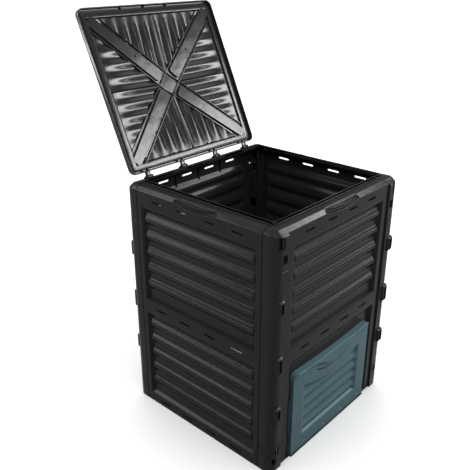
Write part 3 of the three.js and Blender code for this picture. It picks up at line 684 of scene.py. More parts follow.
@dataclass
class WallPanel:
    """One ribbed wall panel with its recess, ridges, vents and flanges, in millimetres."""

    half: float
    base: float
    recess_base: float
    recess_top: float
    base_slope: float
    ridges: int
    vent_levels: tuple[float, ...]
    scooped: bool = False
    recess_half: float = 225.0
    recess_depth: float = 12.0
    recess_draft: float = 4.0
    top_slope: float = 14.0
    first_ridge: float = 58.0
    ridge_pitch: float = 54.3
    crest_depth: float = 3.0
    crest_half: float = 4.0
    foot_half: float = 18.0
    end_reach: float = 10.0
    ridge_half: float = 222.0
    softness: float = 5.0
    wall: float = 3.0
    vent_pitch: float = 105.0
    vent_half: float = 23.0
    vent_rise: float = 3.5
    vent_point: float = 3.0
    vent_pairs: int = 2
    coarse: float = 12.0
    fine: float = 1.8
    before_turn: float = 20.0
    past_turn: float = 6.0
    clear: float = 2.0
    outer_step: float = 8.0
    scoop_step: float = 6.0
    scoop_fine: float = 1.5
    scoop_end: tuple[float, float] = (73.0, 88.0)
    row_step: float = 8.0
    ridge_steps: tuple[float, ...] = (0, 3, 5, 6.5, 8, 10, 12.5, 15, 17, 18.5, 20.5, 23.5)

    def columns(self) -> list[float]:
        """The places along the wall where the sheet has a line of points.

        Returns:
            The places in order, close together where the surface turns.
        """
        start, stop = self.ridge_half - self.before_turn, self.recess_half + self.past_turn
        edge = np.arange(start, stop, self.fine)
        middle = list(np.arange(0, start - self.clear, self.scoop_step if self.scooped else self.coarse))
        if self.scooped:
            middle += list(np.arange(*self.scoop_end, self.scoop_fine))
        vents = [
            (index + 0.5) * self.vent_pitch + side * self.vent_half
            for index in range(self.vent_pairs)
            for side in (-1, 1)
        ]
        outer = np.arange(stop + 2 * self.clear, self.half, self.outer_step)
        return self.merged([*middle, *edge, *outer, self.half], vents, mirrored=True)

    @staticmethod
    def merged(
        soft: Iterable[float], hard: Iterable[float], mirrored: bool = False, gap: float = 1.1
    ) -> list[float]:
        """Merge places in order, and leave out soft ones that lie close to a hard one.

        Args:
            soft: places that may be left out.
            hard: places that stay.
            mirrored: whether each place also has its opposite.
            gap: the least distance.

        Returns:
            The places in order.
        """
        kept = sorted(set(hard))
        for place in sorted(soft):
            if all(abs(place - other) > gap for other in kept):
                kept.append(place)
        kept.sort()
        if mirrored:
            kept = sorted({-place for place in kept if place > 0.01} | set(kept))
        return kept

    def wall_rows(self, low: float, high: float, hard: Sequence[float]) -> list[float]:
        """The heights of the rows of points on the flat of the wall."""
        soft = list(np.arange(low, high, self.row_step))
        first = self.recess_base + self.first_ridge
        for index in range(self.ridges):
            level = first + index * self.ridge_pitch
            soft += [level + side * step for step in self.ridge_steps for side in (-1, 1)]
        for edge, slope in ((self.recess_top, -self.top_slope), (self.recess_base, self.base_slope)):
            soft += [edge + slope * share for share in np.linspace(-0.2, 1.2, 12)]
        fixed = [low, high, *hard]
        for level in self.vent_levels:
            fixed += [level - self.vent_rise, level, level + self.vent_rise]
        return [level for level in self.merged(soft, fixed) if low <= level <= high]

    def relief(
        self, name: str, rows: np.ndarray, material: bpy.types.Material, trim: Callable[[Shaper], None]
    ) -> bpy.types.Object:
        """Press the recess, ridges and vents into a sheet.

        Args:
            name: the piece's name.
            rows: the plain sheet's points, in metres.
            material: its finish.
            trim: takes further faces away.

        Returns:
            The pressed sheet with its wall.
        """
        sizes = named_sizes(
            self, "recess_half", "recess_draft", "recess_base", "recess_top", "recess_depth", "top_slope",
            "base_slope", "ridge_pitch", "crest_half", "foot_half", "end_reach", "ridge_half", "vent_pitch",
            "vent_half", "vent_rise", "vent_point",
        )
        sizes["First ridge"] = (self.recess_base + self.first_ridge) * MM
        sizes["Ridge stand"] = (self.recess_depth - self.crest_depth) * MM
        graph = Shaper(name, sizes)
        size, soft = graph.size, self.softness * MM
        x, _, z = graph.place()
        wide = abs(x)
        depth = size("Recess depth")
        side = (size("Recess half") - wide) * (depth / size("Recess draft"))
        top = (size("Recess top") - z) * (depth / size("Top slope"))
        basin = side.lower(top, soft)
        if self.recess_base > self.base:
            base = (z - size("Recess base")) * (depth / size("Base slope"))
            basin = basin.lower(base, soft)
        press = basin.lower(depth, soft).higher(0.0, soft)
        if self.ridges:
            press = press - self.ridge_wave(graph, wide, z, soft)
        graph.move(0.0, press, 0.0)
        self.cut_vents(graph)
        trim(graph)
        return graph.shape(sheet(name, rows), material, self.wall * MM)

    def ridge_wave(self, graph: Shaper, wide: Value, z: Value, soft: float) -> Value:
        """How far the ridges, with their round ends, stand from the floor of the recess."""
        size = graph.size
        away = graph.from_nearest(z, size("First ridge"), size("Ridge pitch"), self.ridges)
        past = (wide - size("Ridge half") + size("End reach")).higher(0.0, 0.0)
        past = past * size("Foot half") / size("End reach")
        away = graph.math("SQRT", away * away + past * past)
        stand = size("Ridge stand")
        flank = (size("Foot half") - away) * (stand / (size("Foot half") - size("Crest half")))
        return flank.lower(stand, soft).higher(0.0, soft)

    def cut_vents(self, graph: Shaper) -> None:
        """Open the rows of vents, with their pointed ends."""
        x, _, z = graph.place()
        pitch, half, rise = graph.size("Vent pitch"), graph.size("Vent half"), graph.size("Vent rise")
        along = graph.wrapped(x - pitch / 2, pitch)
        inside = abs(x).less(pitch * float(self.vent_pairs))
        near = 0.2 * MM
        corner = abs(abs(along) - half).less(near) * inside
        opened = None
        shift = None
        for level in self.vent_levels:
            off = abs(z - level * MM)
            here = corner * abs(off - rise).less(near)
            hole = off.less(rise)
            opened = hole if opened is None else opened + hole
            shift = here if shift is None else shift + here
        if opened is None:
            return
        graph.move(shift * graph.math("SIGN", along) * graph.size("Vent point") * -1.0, 0.0, 0.0)
        graph.remove_faces(abs(along).less(half) * inside * opened)


@dataclass
class Rim:
    """The rim of an upper panel: its chamfer, ledge, lip and finger scoop, in millimetres."""

    height: float = 776.0
    chamfer: float = 12.3
    ledge: float = 39.5
    lip: float = 4.0
    lip_height: float = 8.5
    skin: float = 3.0
    scoop_half: float = 84.0
    scoop_dip: float = 9.5
    scoop_depth: float = 9.0
    shelf_drop: float = 5.5
    shelf: float = 3.2
    blend: float = 0.07
    radius: float = 1.3
    lead: float = 2.0
    floor_rise: float = 1.5
    crown_reach: float = 0.6
    crown_sag: float = 0.4
    chamfer_shares: tuple[float, ...] = (0, 0.2, 0.4, 0.6, 0.8, 0.9)

    @property
    def foot(self) -> float:
        """The height of the chamfer's lower edge."""
        return self.height - self.chamfer

    def section(self, along: float, scooped: bool) -> np.ndarray:
        """The rim's section at one place along the wall.

        Args:
            along: the distance from the middle of the wall.
            scooped: whether the rim has a finger scoop.

        Returns:
            Points of [inwards, up], from the chamfer's lower edge to the lip's inner foot.
        """
        plain = [(share * self.chamfer, self.foot + share * self.chamfer) for share in self.chamfer_shares]
        corners = plain
        depth = max(0.0, 1 - (along / self.scoop_half) ** 2) if scooped else 0.0
        if depth > 0:
            edge, crown = self.chamfer * (1 - depth), self.height - self.shelf_drop * depth
            under = max(crown - self.shelf, self.foot + edge)
            low = self.foot - self.scoop_dip * depth
            deep = self.scoop_depth
            brow = under if edge < deep else min(under, self.foot + deep)
            scoop = [(0, low), (deep, low + self.floor_rise), (deep, brow), (edge, under), (edge, crown)]
            scoop += [(self.chamfer + self.crown_reach, crown - self.crown_sag)]
            weight = min(1.0, depth / self.blend)
            weight = weight * weight * (3 - 2 * weight)
            corners = [tuple(np.array(a) * (1 - weight) + np.array(b) * weight) for a, b in zip(plain, scoop)]
        tail = [
            (self.chamfer + self.lead, self.height),
            (self.ledge, self.height),
            (self.ledge, self.height + self.lip_height),
            (self.ledge + self.lip, self.height + self.lip_height),
            (self.ledge + self.lip, self.height - self.skin),
        ]
        return filleted([(0, self.foot - self.scoop_dip - self.lead), *corners, *tail], self.radius)


@dataclass(frozen=True)
class Hole:
    """A hole in a corner's front face: its heights, its inset from the side face and its width."""

    low: float
    high: float
    outer: float
    width: float
    ahead: float = -26.0
    behind: float = 6.6

    def cutter(self, side: int) -> bpy.types.Object:
        """A block that cuts the hole through the corner on one side."""
        near, far = side * (HALF_WIDTH - self.outer), side * (HALF_WIDTH - self.outer - self.width)
        return block((near, self.ahead, self.low), (far, self.behind, self.high), radius=1.4)


@dataclass
class Corner:
    """The walls that wrap round the body's corners, in the front panel's frame, in millimetres."""

    half: float = HALF_WIDTH
    edge: float = 255.0
    stand: float = 5.5
    wrap: float = 42.4
    radius: float = 28.0
    least: float = 3.0
    arc_steps: int = 14
    easing: float = 0.9
    head_seam: float = 660.0
    foot_seam: float = 97.0
    play: float = 0.15
    wall: float = 5.2
    top_wall: float = 5.8
    top_bend: float = 759.9
    top_chamfer: float = 13.5
    sole: float = 3.0
    hood_stand: float = 7.0
    pad_root: float = -0.8
    pad_section: tuple[Point, ...] = ((8.0, 6.2), (4.6, 1.2), (3.0, 0.0), (1.0, 0.0))
    rim: Rim = field(default_factory=Rim)
    upper_holes: tuple[Hole, ...] = (Hole(724, 759, 11, 22), Hole(682, 707, 24, 21))
    hoods: tuple[Hole, ...] = (Hole(538, 571, 17, 13), Hole(351, 395, 17, 13), Hole(191, 224, 17, 13))
    foot_holes: tuple[Hole, ...] = (Hole(60, 86, 20, 16), Hole(21, 46, 12, 17))

    def plan(self, inset_x: float, inset_y: float) -> np.ndarray:
        """The right-hand corner's plan, drawn in by two insets."""
        radius = max(self.radius - max(inset_x, inset_y), self.least)
        face, side = inset_y - self.stand, self.half - inset_x
        turn = np.linspace(-math.pi / 2, 0, self.arc_steps + 1)
        middle = np.array([side - radius, face + radius])
        arc = middle + radius * np.column_stack([np.cos(turn), np.sin(turn)])
        start = np.linspace((self.edge, face), arc[0], 4)[:-1]
        stop = np.linspace(arc[-1], (side, self.wrap), 4)[1:]
        return np.vstack([start, arc, stop])

    def shell(self, side: int, outer: Sequence[Point], inner: Sequence[Point]) -> bpy.types.Object:
        """A wall round one corner.

        Args:
            side: one for the right-hand corner, or minus one.
            outer: for each level of its outside the two insets and the height.
            inner: the same for its inside, from the foot up.

        Returns:
            The closed wall.
        """
        faces = [self.plan(x, y) for x, y, _ in outer]
        backs = [self.plan(x, y) for x, y, _ in inner]
        rings = []
        for index in range(len(faces[0])):
            line = filleted([(*plan[index], level[2]) for plan, level in zip(faces, outer)], 1.4, 2)
            back = [(*plan[index], level[2]) for plan, level in zip(backs, inner)]
            rings.append([*line, *reversed(back)])
        return tube("corner", np.array(rings) * np.array([side, 1, 1]) * MM)

    def top(self, side: int) -> bpy.types.Object:
        """A top corner with its chamfer, ledge, slots and holes."""
        rim, stand, ease, wall = self.rim, self.stand, self.easing, self.top_wall
        foot, under = self.head_seam + self.play, rim.height - rim.skin
        outer = [(ease, ease, foot), (0, 0, foot + ease), (0, 0, rim.foot - stand), (0, stand, rim.foot)]
        outer += [(edge, edge + stand, rim.height) for edge in (rim.chamfer, rim.ledge)]
        inner = [(wall, wall, foot), (wall, wall, self.top_bend), (wall, wall + stand, self.top_bend + stand)]
        inner += [(edge, edge + stand, under) for edge in (self.top_chamfer, rim.ledge)]
        return carved(self.shell(side, outer, inner), [hole.cutter(side) for hole in self.upper_holes])

    def foot(self, side: int) -> bpy.types.Object:
        """A bottom corner with its foot and holes."""
        ledge, wall, ease, head = self.rim.ledge, self.wall, self.easing, self.foot_seam - self.play
        outer = [(ledge, ledge + self.stand, 0), (0, 0, 0), (0, 0, head - ease), (ease, ease, head)]
        inner = [(ledge, ledge + self.stand, self.sole), (wall, wall, self.sole), (wall, wall, head)]
        return carved(self.shell(side, outer, inner), [hole.cutter(side) for hole in self.foot_holes])

    def post(self, side: int) -> bpy.types.Object:
        """A post with its hooded slots."""
        ease, wall = self.easing, self.wall
        foot, head = self.foot_seam + self.play, self.head_seam - self.play
        outer = [(ease, ease, foot), (0, 0, foot + ease), (0, 0, head - ease), (ease, ease, head)]
        shell = self.shell(side, outer, [(wall, wall, foot), (wall, wall, head)])
        wall = carved(shell, [hole.cutter(side) for hole in self.hoods])
        pads = [carved(self.pad(side, hole), [hole.cutter(side)]) for hole in self.hoods]
        return joined("post", [wall, *pads])

    def pad(self, side: int, hole: Hole) -> bpy.types.Object:
        """The raised frame of one hooded slot, which slopes down to the post."""
        middle = self.half - hole.outer - hole.width / 2
        centre = (hole.low + hole.high) / 2
        rings = []
        top = -self.stand - self.hood_stand
        section = [(self.pad_section[0][0], self.pad_root)]
        section += [(margin, top + back) for margin, back in self.pad_section]
        for margin, depth in section:
            half_x, half_z = hole.width / 2 + margin, (hole.high - hole.low) / 2 + margin
            plan = rounded_plan(half_x, half_z, min(4.0, margin + 1.5), 4)
            rings.append([(side * (middle + x), depth, centre + z) for x, z in plan])
        return tube("pad", np.array(rings) * MM)


@dataclass
class SideHooks:
    """The flanges and hooks at both ends of a side panel, in the front panel's frame, in millimetres."""

    half: float = 243.6
    leg: float = 265.0
    web: float = 288.0
    end: float = 293.7
    face: float = 6.3
    thickness: float = 3.0
    inset: float = 25.0
    play: float = 0.5
    skin: float = 3.0
    skin_back: float = 0.6
    skin_play: float = 0.05
    web_rise: float = 4.0
    tab_from: float = 18.0
    tab_depth: float = 10.0
    tab_reach: float = 14.0
    tab_wall: float = 2.5

    def build(self, low: float, high: float, holes: Sequence[Hole]) -> list[bpy.types.Object]:
        """Make the flanges and hooks.

        Args:
            low: the height of the flange's foot.
            high: the height of its top.
            holes: the holes that the hooks reach through.

        Returns:
            The parts.
        """
        made = []
        for side in (-1, 1):
            inner, outer = side * (self.half - self.skin), side * (self.half - self.skin_play)
            foot, leg, web = side * (self.leg - self.thickness), side * self.leg, side * self.web
            near, back = self.face + self.thickness, self.inset + self.thickness
            end = side * self.end
            made.append(block((inner, self.skin_back, low), (outer, near, high), radius=0.6))
            made.append(block((inner, self.face, low), (leg, near, high)))
            made.append(block((foot, self.face, low), (leg, back, high)))
            made.append(block((foot, self.inset, low), (web, back, high + self.web_rise)))
            for hole in holes:
                low_end, high_end = hole.low + self.play, hole.high - self.play
                made.append(block((foot, self.inset, low_end), (end, back, high_end), radius=1.0))
                if hole.width > self.tab_from:
                    reach, stop = hole.outer + hole.width + self.tab_reach, end - side * self.tab_depth
                    start = (stop - side * self.tab_wall, hole.outer, low_end)
                    made.append(block(start, (stop, reach, high_end)))
        return made


@dataclass
class Hinges:
    """The lid's four hinges, in millimetres: pockets, ears, pins and the lid's own arms."""

    stations: tuple[float, ...] = (-225.0, -77.0, 77.0, 225.0)
    depth: float = 14.4
    line_y: float = 274.1
    line_z: float = 777.7
    pocket_half: float = 9.3
    pocket_front: float = -12.0
    pocket_floor: float = 769.4
    pocket_back: float = 22.4
    pocket_open: float = 800.0
    wall: float = 3.0
    back_top: float = 775.9
    web_top: float = 775.6
    web_front: float = 2.0
    web_back: float = 2.0
    ear: float = 3.4
    ear_radius: float = 6.3
    arm_half: float = 9.0
    knuckle: float = 5.2
    pin: float = 2.6
    ear_ease: float = 0.7
    knuckle_ease: float = 0.8
    pin_ease: float = 0.5

    def pockets(self) -> list[bpy.types.Object]:
        """The cutters of the pockets, in the back panel's frame."""
        half, front, back = self.pocket_half, self.pocket_front, self.pocket_back
        return [
            block((at - half, front, self.pocket_floor), (at + half, back, self.pocket_open), radius=0.5)
            for at in self.stations
        ]

    def blocks(self) -> list[bpy.types.Object]:
        """The hinge blocks with their ears, in the back panel's frame."""
        made = []
        reach, base, back = self.pocket_half + self.ear, self.pocket_floor - self.wall, self.pocket_back
        near, far = self.depth - self.ear_radius, self.depth + self.ear_radius
        for at in self.stations:
            low, high, rear = at - reach, at + reach, back + self.wall
            made.append(block((low, self.wall, base), (high, rear, self.pocket_floor)))
            made.append(block((low, back, base), (high, rear, self.back_top)))
            for side in (-1, 1):
                inner, outer = at + side * self.pocket_half, at + side * reach
                top = (outer, back + self.web_back, self.web_top)
                made.append(block((inner, self.web_front, base), top, radius=0.4))
                made.append(block((inner, near, base), (outer, far, self.line_z), radius=0.4))
                start = (min(inner, outer), self.depth, self.line_z)
                made.append(rod("ear", self.ear_radius, start, self.ear, self.ear_ease))
        return made

    def pins(self, shop: Workshop) -> None:
        """Build the pins."""
        half = self.pocket_half + self.ear
        for index, at in enumerate(self.stations):
            start = (at - half, self.line_y, self.line_z)
            pin = rod(f"pin_{index + 1}", self.pin, start, 2 * half, self.pin_ease)
            shop.finish(pin, PIN_BLACK, "bin", f"hinge_pin_{index + 1}")


@dataclass
class Bin:
    """The body: eight wall panels and four posts, in millimetres."""

    front_half: float = 262.0
    side_half: float = 243.6
    front_edge: float = 255.0
    seam: float = 400.0
    play: float = 0.3
    tongue: float = 386.0
    tongue_half: float = 221.0
    lip_half: float = 265.5
    opening_half: float = 195.0
    opening: tuple[float, float] = (8.0, 285.0)
    upper_rows: float = 748.0
    rim_band: float = 750.0
    lip_root: float = 1.0
    foot_flange: float = 20.0
    ground_gap: float = 0.5
    top_flange: float = 11.7
    lower_rows: tuple[float, float] = (8.0, 389.0)
    upper_hooks: tuple[float, float] = (400.3, 757.7)
    lower_hooks: tuple[float, float] = (3.3, 399.5)
    rim: Rim = field(default_factory=Rim)
    corner: Corner = field(default_factory=Corner)
    hooks: SideHooks = field(default_factory=SideHooks)
    hinges: Hinges = field(default_factory=Hinges)

    def upper_relief(self, half: float, scooped: bool) -> WallPanel:
        """The relief of an upper panel."""
        return WallPanel(
            half, base=self.seam + self.play, recess_base=self.seam, recess_top=715.0, base_slope=1.0,
            ridges=5, vent_levels=(740.5,), scooped=scooped,
        )

    def lower_relief(self, half: float) -> WallPanel:
        """The relief of a lower panel."""
        return WallPanel(
            half, base=0.0, recess_base=35.0, recess_top=350.0, base_slope=8.0,
            ridges=5, vent_levels=(375.0, 17.0),
        )

    def hatch_relief(self, half: float) -> WallPanel:
        """The relief of the lower panel with the hatch's opening."""
        return WallPanel(
            half, base=0.0, recess_base=5.0, recess_top=350.0, base_slope=1.0,
            ridges=0, vent_levels=(375.0,),
        )

    def upper_skin(self, name: str, half: float, scooped: bool, shop: Workshop) -> bpy.types.Object:
        """An upper panel's skin with its rim and lip.

        Args:
            name: the piece's name.
            half: half its width.
            scooped: whether it has a finger scoop.
            shop: the workshop with the finishes.

        Returns:
            The skin.
        """
        relief = self.upper_relief(half, scooped)
        hard = [self.tongue_half] + ([self.front_edge] if half > self.front_edge else [])
        columns = relief.merged(relief.columns(), [*hard, *[-place for place in hard]])
        low = self.seam + self.play
        heights = [self.tongue, *relief.wall_rows(low, self.upper_rows, [])]
        sections = [self.rim.section(along, scooped) for along in columns]
        rows = [[(along, 0.0, height) for along in columns] for height in heights]
        for index in range(len(sections[0])):
            rows.append([(along, *section[index]) for along, section in zip(columns, sections)])

        def trim(graph: Shaper) -> None:
            """Take away the ends of the tongue and the rim behind the corners."""
            x, _, z = graph.place()
            beside = z.less(low * MM) * (1.0 - abs(x).less(self.tongue_half * MM))
            behind = (1.0 - z.less(self.rim_band * MM)) * (1.0 - abs(x).less(self.front_edge * MM))
            graph.remove_faces(beside + behind)

        skin = relief.relief(name, np.array(rows) * MM, shop.materials[BLACK.slot], trim)
        rim, reach = self.rim, self.lip_half if half > self.front_edge else half
        root = (-reach, rim.ledge, rim.height - self.lip_root)
        lip = block(root, (reach, rim.ledge + rim.lip, rim.height + rim.lip_height), radius=1.1, segments=3)
        return joined(name, [skin, lip])

    def lower_skin(self, name: str, half: float, hatch: bool, shop: Workshop) -> bpy.types.Object:
        """A lower panel's skin with its foot and top flanges.

        Args:
            name: the piece's name.
            half: half its width.
            hatch: whether it has the hatch's opening.
            shop: the workshop with the finishes.

        Returns:
            The skin.
        """
        relief = self.hatch_relief(half) if hatch else self.lower_relief(half)
        hard = [self.opening_half] if hatch else []
        columns = relief.merged(relief.columns(), [*hard, *[-place for place in hard]])
        ground, (first, last) = self.ground_gap, self.lower_rows
        foot = filleted([(self.foot_flange, ground), (0, ground), (0, first - 2.0)], 1.2, 2)
        top = filleted([(0, last + 3.0), (0, self.seam), (self.top_flange, self.seam)], 1.2, 2)
        heights = relief.wall_rows(first, last, list(self.opening) if hatch else [])
        line = [*foot, *[(0.0, height) for height in heights], *top]
        rows = [[(along, inwards, up) for along in columns] for inwards, up in line]

        def trim(graph: Shaper) -> None:
            """Cut the hatch's opening."""
            if hatch:
                x, _, z = graph.place()
                high = z.less(self.opening[1] * MM)
                low = 1.0 - z.less(self.opening[0] * MM)
                graph.remove_faces(abs(x).less(self.opening_half * MM) * high * low)

        return relief.relief(name, np.array(rows) * MM, shop.materials[BLACK.slot], trim)

    @staticmethod
    def hatch_seat() -> list[bpy.types.Object]:
        """The sill under the hatch and the clips beside it."""
        half, clip_levels = 205, ((52, 88), (215, 276))
        inner, outer, front, back = 207, 226, 3.4, 8.4
        made = [block((-half, -7, 0), (half, 3, 5), radius=1.2)]
        for side in (-1, 1):
            for low, high in clip_levels:
                made.append(block((side * inner, front, low), (side * outer, back, high), radius=1.2))
        return made

    @staticmethod
    def stiffeners() -> list[bpy.types.Object]:
        """The short ribs inside the back panel's rail, between the hinges."""
        half, low, high = 1.5, 700, 768
        return [block((at - half, 2, low), (at + half, 8, high), radius=0.6) for at in (-105, 0, 105)]

    def build(self, shop: Workshop) -> None:
        """Build every panel and post."""
        corner = self.corner
        for wall in (Wall.FRONT, Wall.BACK):
            side = wall.name.lower()
            front = wall is Wall.FRONT
            tops = [corner.top(-1), corner.top(1)]
            upper = self.upper_skin(f"{side}_upper", self.front_half, front, shop)
            if not front:
                upper = carved(upper, self.hinges.pockets())
                tops += [*self.hinges.blocks(), *self.stiffeners()]
            upper = joined(f"{side}_upper", [upper, *tops])
            shop.finish(moved(upper, wall.place), BLACK, "bin", f"{side}_upper_panel")
            feet = [corner.foot(-1), corner.foot(1), *(self.hatch_seat() if front else [])]
            lower = joined(f"{side}_lower", [self.lower_skin("lower", self.front_half, front, shop), *feet])
            shop.finish(moved(lower, wall.place), BLACK, "bin", f"{side}_lower_panel")
        self.build_sides(shop)
        posts = {"front_left_post": (Wall.FRONT, -1), "front_right_post": (Wall.FRONT, 1)}
        posts |= {"back_right_post": (Wall.BACK, -1), "back_left_post": (Wall.BACK, 1)}
        for name, (wall, side) in posts.items():
            post = moved(corner.post(side), wall.place)
            post.name = name.replace("_post", "_column")
            shop.finish(post, BLACK, "bin", name)

    def build_sides(self, shop: Workshop) -> None:
        """Build the side walls' panels."""
        corner, hooks = self.corner, self.hooks
        uppers = [self.upper_skin("side", self.side_half, True, shop)]
        uppers += hooks.build(*self.upper_hooks, [*corner.upper_holes, corner.hoods[0]])
        upper = joined("side upper", uppers)
        lowers = [self.lower_skin("side", self.side_half, False, shop)]
        lowers += hooks.build(*self.lower_hooks, [*corner.hoods[1:], *corner.foot_holes])
        lower = joined("side lower", lowers)
        for wall in (Wall.LEFT, Wall.RIGHT):
            side = wall.name.lower()
            for tier, piece in (("upper", upper), ("lower", lower)):
                shop.finish(copied(piece, f"{side}_{tier}", wall.place), BLACK, "bin", f"{side}_{tier}_panel")
        bpy.data.objects.remove(upper)
        bpy.data.objects.remove(lower)


@dataclass
class Hatch:
    """The hatch with its recess, handle and tabs, in the front panel's frame, in millimetres."""

    half: float = 205.0
    base: float = 5.3
    top: float = 300.0
    top_sag: float = 7.0
    corner: float = 19.0
    face: float = -10.0
    back: float = 11.7
    frame_step: float = 5.6
    edge: float = 2.6
    recess_half: float = 152.0
    recess_base: float = 52.0
    handle_middle: float = 251.0
    handle_rise: float = 39.0
    handle_half: float = 125.0
    slit_middle: float = 236.0
    slit_rise: float = 22.0
    slit_half: float = 88.0
    slit: float = 9.0
    edge_middle: float = 208.0
    edge_rise: float = 31.0
    depth: float = 10.0
    first_ridge: float = 76.0
    pitch: float = 38.0
    ridges: int = 4
    ridge_half: float = 150.0
    ridge_stand: float = 6.5
    crest_half: float = 3.0
    foot_half: float = 15.0
    bead: float = 1.4
    bead_half: float = 4.0
    wall: float = 3.0
    tab: float = 214.0
    tab_wall: float = 3.0
    tab_levels: tuple[tuple[float, float], ...] = ((53, 86), (242, 274))
    lead: float = 16.0
    sag_from: float = 240.0
    slot_at: float = 73.0
    slot_pitch: float = 103.0
    slot_level: float = 19.0
    slot_half: float = 9.0
    slot_rise: float = 2.4
    slot_depth: float = 6.0
    slit_band: float = 3.0
    step_slope: float = 2.2
    side_slope: float = 0.9
    base_slope: float = 1.4
    edge_slope: float = 0.7
    end_slope: float = 0.6
    bead_slope: float = 0.8
    slit_slope: float = 5.0
    slit_end_slope: float = 1.5
    slot_end_slope: float = 3.0
    slot_slope: float = 4.0
    fade_slope: float = 200.0
    columns: int = 170
    rows: int = 180

    def outline(self, a: float, b: float, inset: float) -> tuple[float, float]:
        """Where a point of the unit square lies on the hatch drawn in by an inset."""
        radius = self.corner - inset
        low, high = self.base + inset, self.top - inset
        z = low + (b + 1) / 2 * (high - low)
        past = max(0.0, z - (high - radius)) / radius
        half = self.half - inset - radius * (1 - math.sqrt(max(0.0, 1 - past * past)))
        x = a * half
        near_top = max(0.0, (z - self.sag_from) / (self.top - self.sag_from))
        return x, z - self.top_sag * (1 - (x / self.half) ** 2) * near_top

    def tray(self) -> bpy.types.Object:
        """The plain face with its sides, as a sheet."""
        line = filleted([(self.lead, self.face), (0, self.face), (0, self.back)], self.edge, 3)
        across, upward = np.linspace(-1, 1, self.columns), np.linspace(-1, 1, self.rows)
        right, top = self.columns - 1, self.rows - 1
        ring = [(c, 0) for c in range(right)] + [(right, r) for r in range(top)]
        ring += [(c, top) for c in range(right, 0, -1)] + [(0, r) for r in range(top, 0, -1)]
        points, faces = [], grid(self.rows, self.columns)

        def add(c: int, r: int, inset: float, depth: float) -> None:
            """Add the point of one column and row, drawn in by an inset and at a depth."""
            x, z = self.outline(across[c], upward[r], inset)
            points.append((x, depth, z))

        for r in range(self.rows):
            for c in range(self.columns):
                add(c, r, line[1][0], self.face)
        last = [r * self.columns + c for c, r in ring]
        for inset, depth in line[2:]:
            here = list(range(len(points), len(points) + len(ring)))
            for c, r in ring:
                add(c, r, inset, depth)
            for i in range(len(ring)):
                after = (i + 1) % len(ring)
                faces.append((last[i], here[i], here[after], last[after]))
            last = here
        return built("hatch", np.array(points) * MM, faces)

    def press(self, graph: Shaper) -> None:
        """Shape the face under the handle, the recess, ridges, bead, slit and the row of slots at the foot."""
        x, y, z = graph.place()
        wide, size = abs(x), graph.size
        crisp, brisk, mild, soft = 1 * MM, 1.2 * MM, 3 * MM, 4 * MM
        swing = (wide / size("Handle half")).lower(1.0, 0.2) * math.pi
        handle = (1.0 - graph.math("COSINE", swing)) * 0.5 * size("Handle rise") + size("Handle middle")
        press = ((handle - z) * self.step_slope).lower(size("Frame step"), brisk).higher(0.0, brisk)
        share = wide / size("Recess half")
        edge = share * share * size("Edge rise") + size("Edge middle")
        basin = (size("Recess half") - wide) * self.side_slope
        basin = basin.lower((z - size("Recess base")) * self.base_slope, soft)
        basin = basin.lower((edge - z) * self.edge_slope, soft).lower(size("Depth"), soft).higher(0.0, soft)
        away = abs(graph.from_nearest(z, size("First ridge"), size("Pitch"), self.ridges))
        stand = size("Ridge stand")
        flank = (size("Foot half") - away) * (stand / (size("Foot half") - size("Crest half")))
        ridge = flank.lower((size("Ridge half") - wide) * self.end_slope, mild).lower(stand, soft)
        ridge = ridge.higher(0.0, mild).lower(basin, 2 * MM)
        over = abs(z - handle - size("Bead half") * 2.0)
        bead = ((size("Bead half") - over) * self.bead_slope).lower(size("Bead"), crisp).higher(0.0, crisp)
        bent = wide / size("Slit half")
        middle = bent * bent * size("Slit rise") + size("Slit middle")
        slit = (size("Slit band") - abs(z - middle)) * self.slit_slope
        slit = slit.lower((size("Slit half") - wide) * self.slit_end_slope, crisp)
        slit = slit.lower(size("Slit"), crisp).higher(0.0, crisp)
        beside = abs(graph.wrapped(x - size("Slot at"), size("Slot pitch")))
        slot = (size("Slot half") - beside) * self.slot_end_slope
        slot = slot.lower((size("Slot rise") - abs(z - size("Slot level"))) * self.slot_slope, 0.0)
        slot = slot.lower(size("Slot depth"), 0.0).higher(0.0, 0.0)
        fade = (1.0 - (y - self.face * MM) * self.fade_slope).higher(0.0, 0.0)
        graph.move(0.0, (press + basin - ridge - bead + slit + slot) * fade, 0.0)

    def build(self, shop: Workshop) -> None:
        """Build the hatch."""
        sizes = named_sizes(
            self, "frame_step", "recess_half", "recess_base", "depth", "edge_middle", "edge_rise",
            "handle_middle", "handle_rise", "handle_half", "slit_middle", "slit_rise", "slit_half",
            "slit_band", "slit", "slot_at", "slot_pitch", "slot_level", "slot_half", "slot_rise",
            "slot_depth", "first_ridge", "pitch", "ridge_stand", "ridge_half", "crest_half", "foot_half",
            "bead", "bead_half",
        )
        graph = Shaper("hatch", sizes)
        self.press(graph)
        parts = [graph.shape(self.tray(), shop.materials[TEAL.slot], self.wall * MM)]
        for side in (-1, 1):
            for low, high in self.tab_levels:
                root = (side * (self.half - 1), self.back - self.tab_wall, low)
                parts.append(block(root, (side * self.tab, self.back, high)))
        piece = moved(joined("hatch_door", parts), Wall.FRONT.place)
        shop.finish(piece, TEAL, "hatch", "hatch")


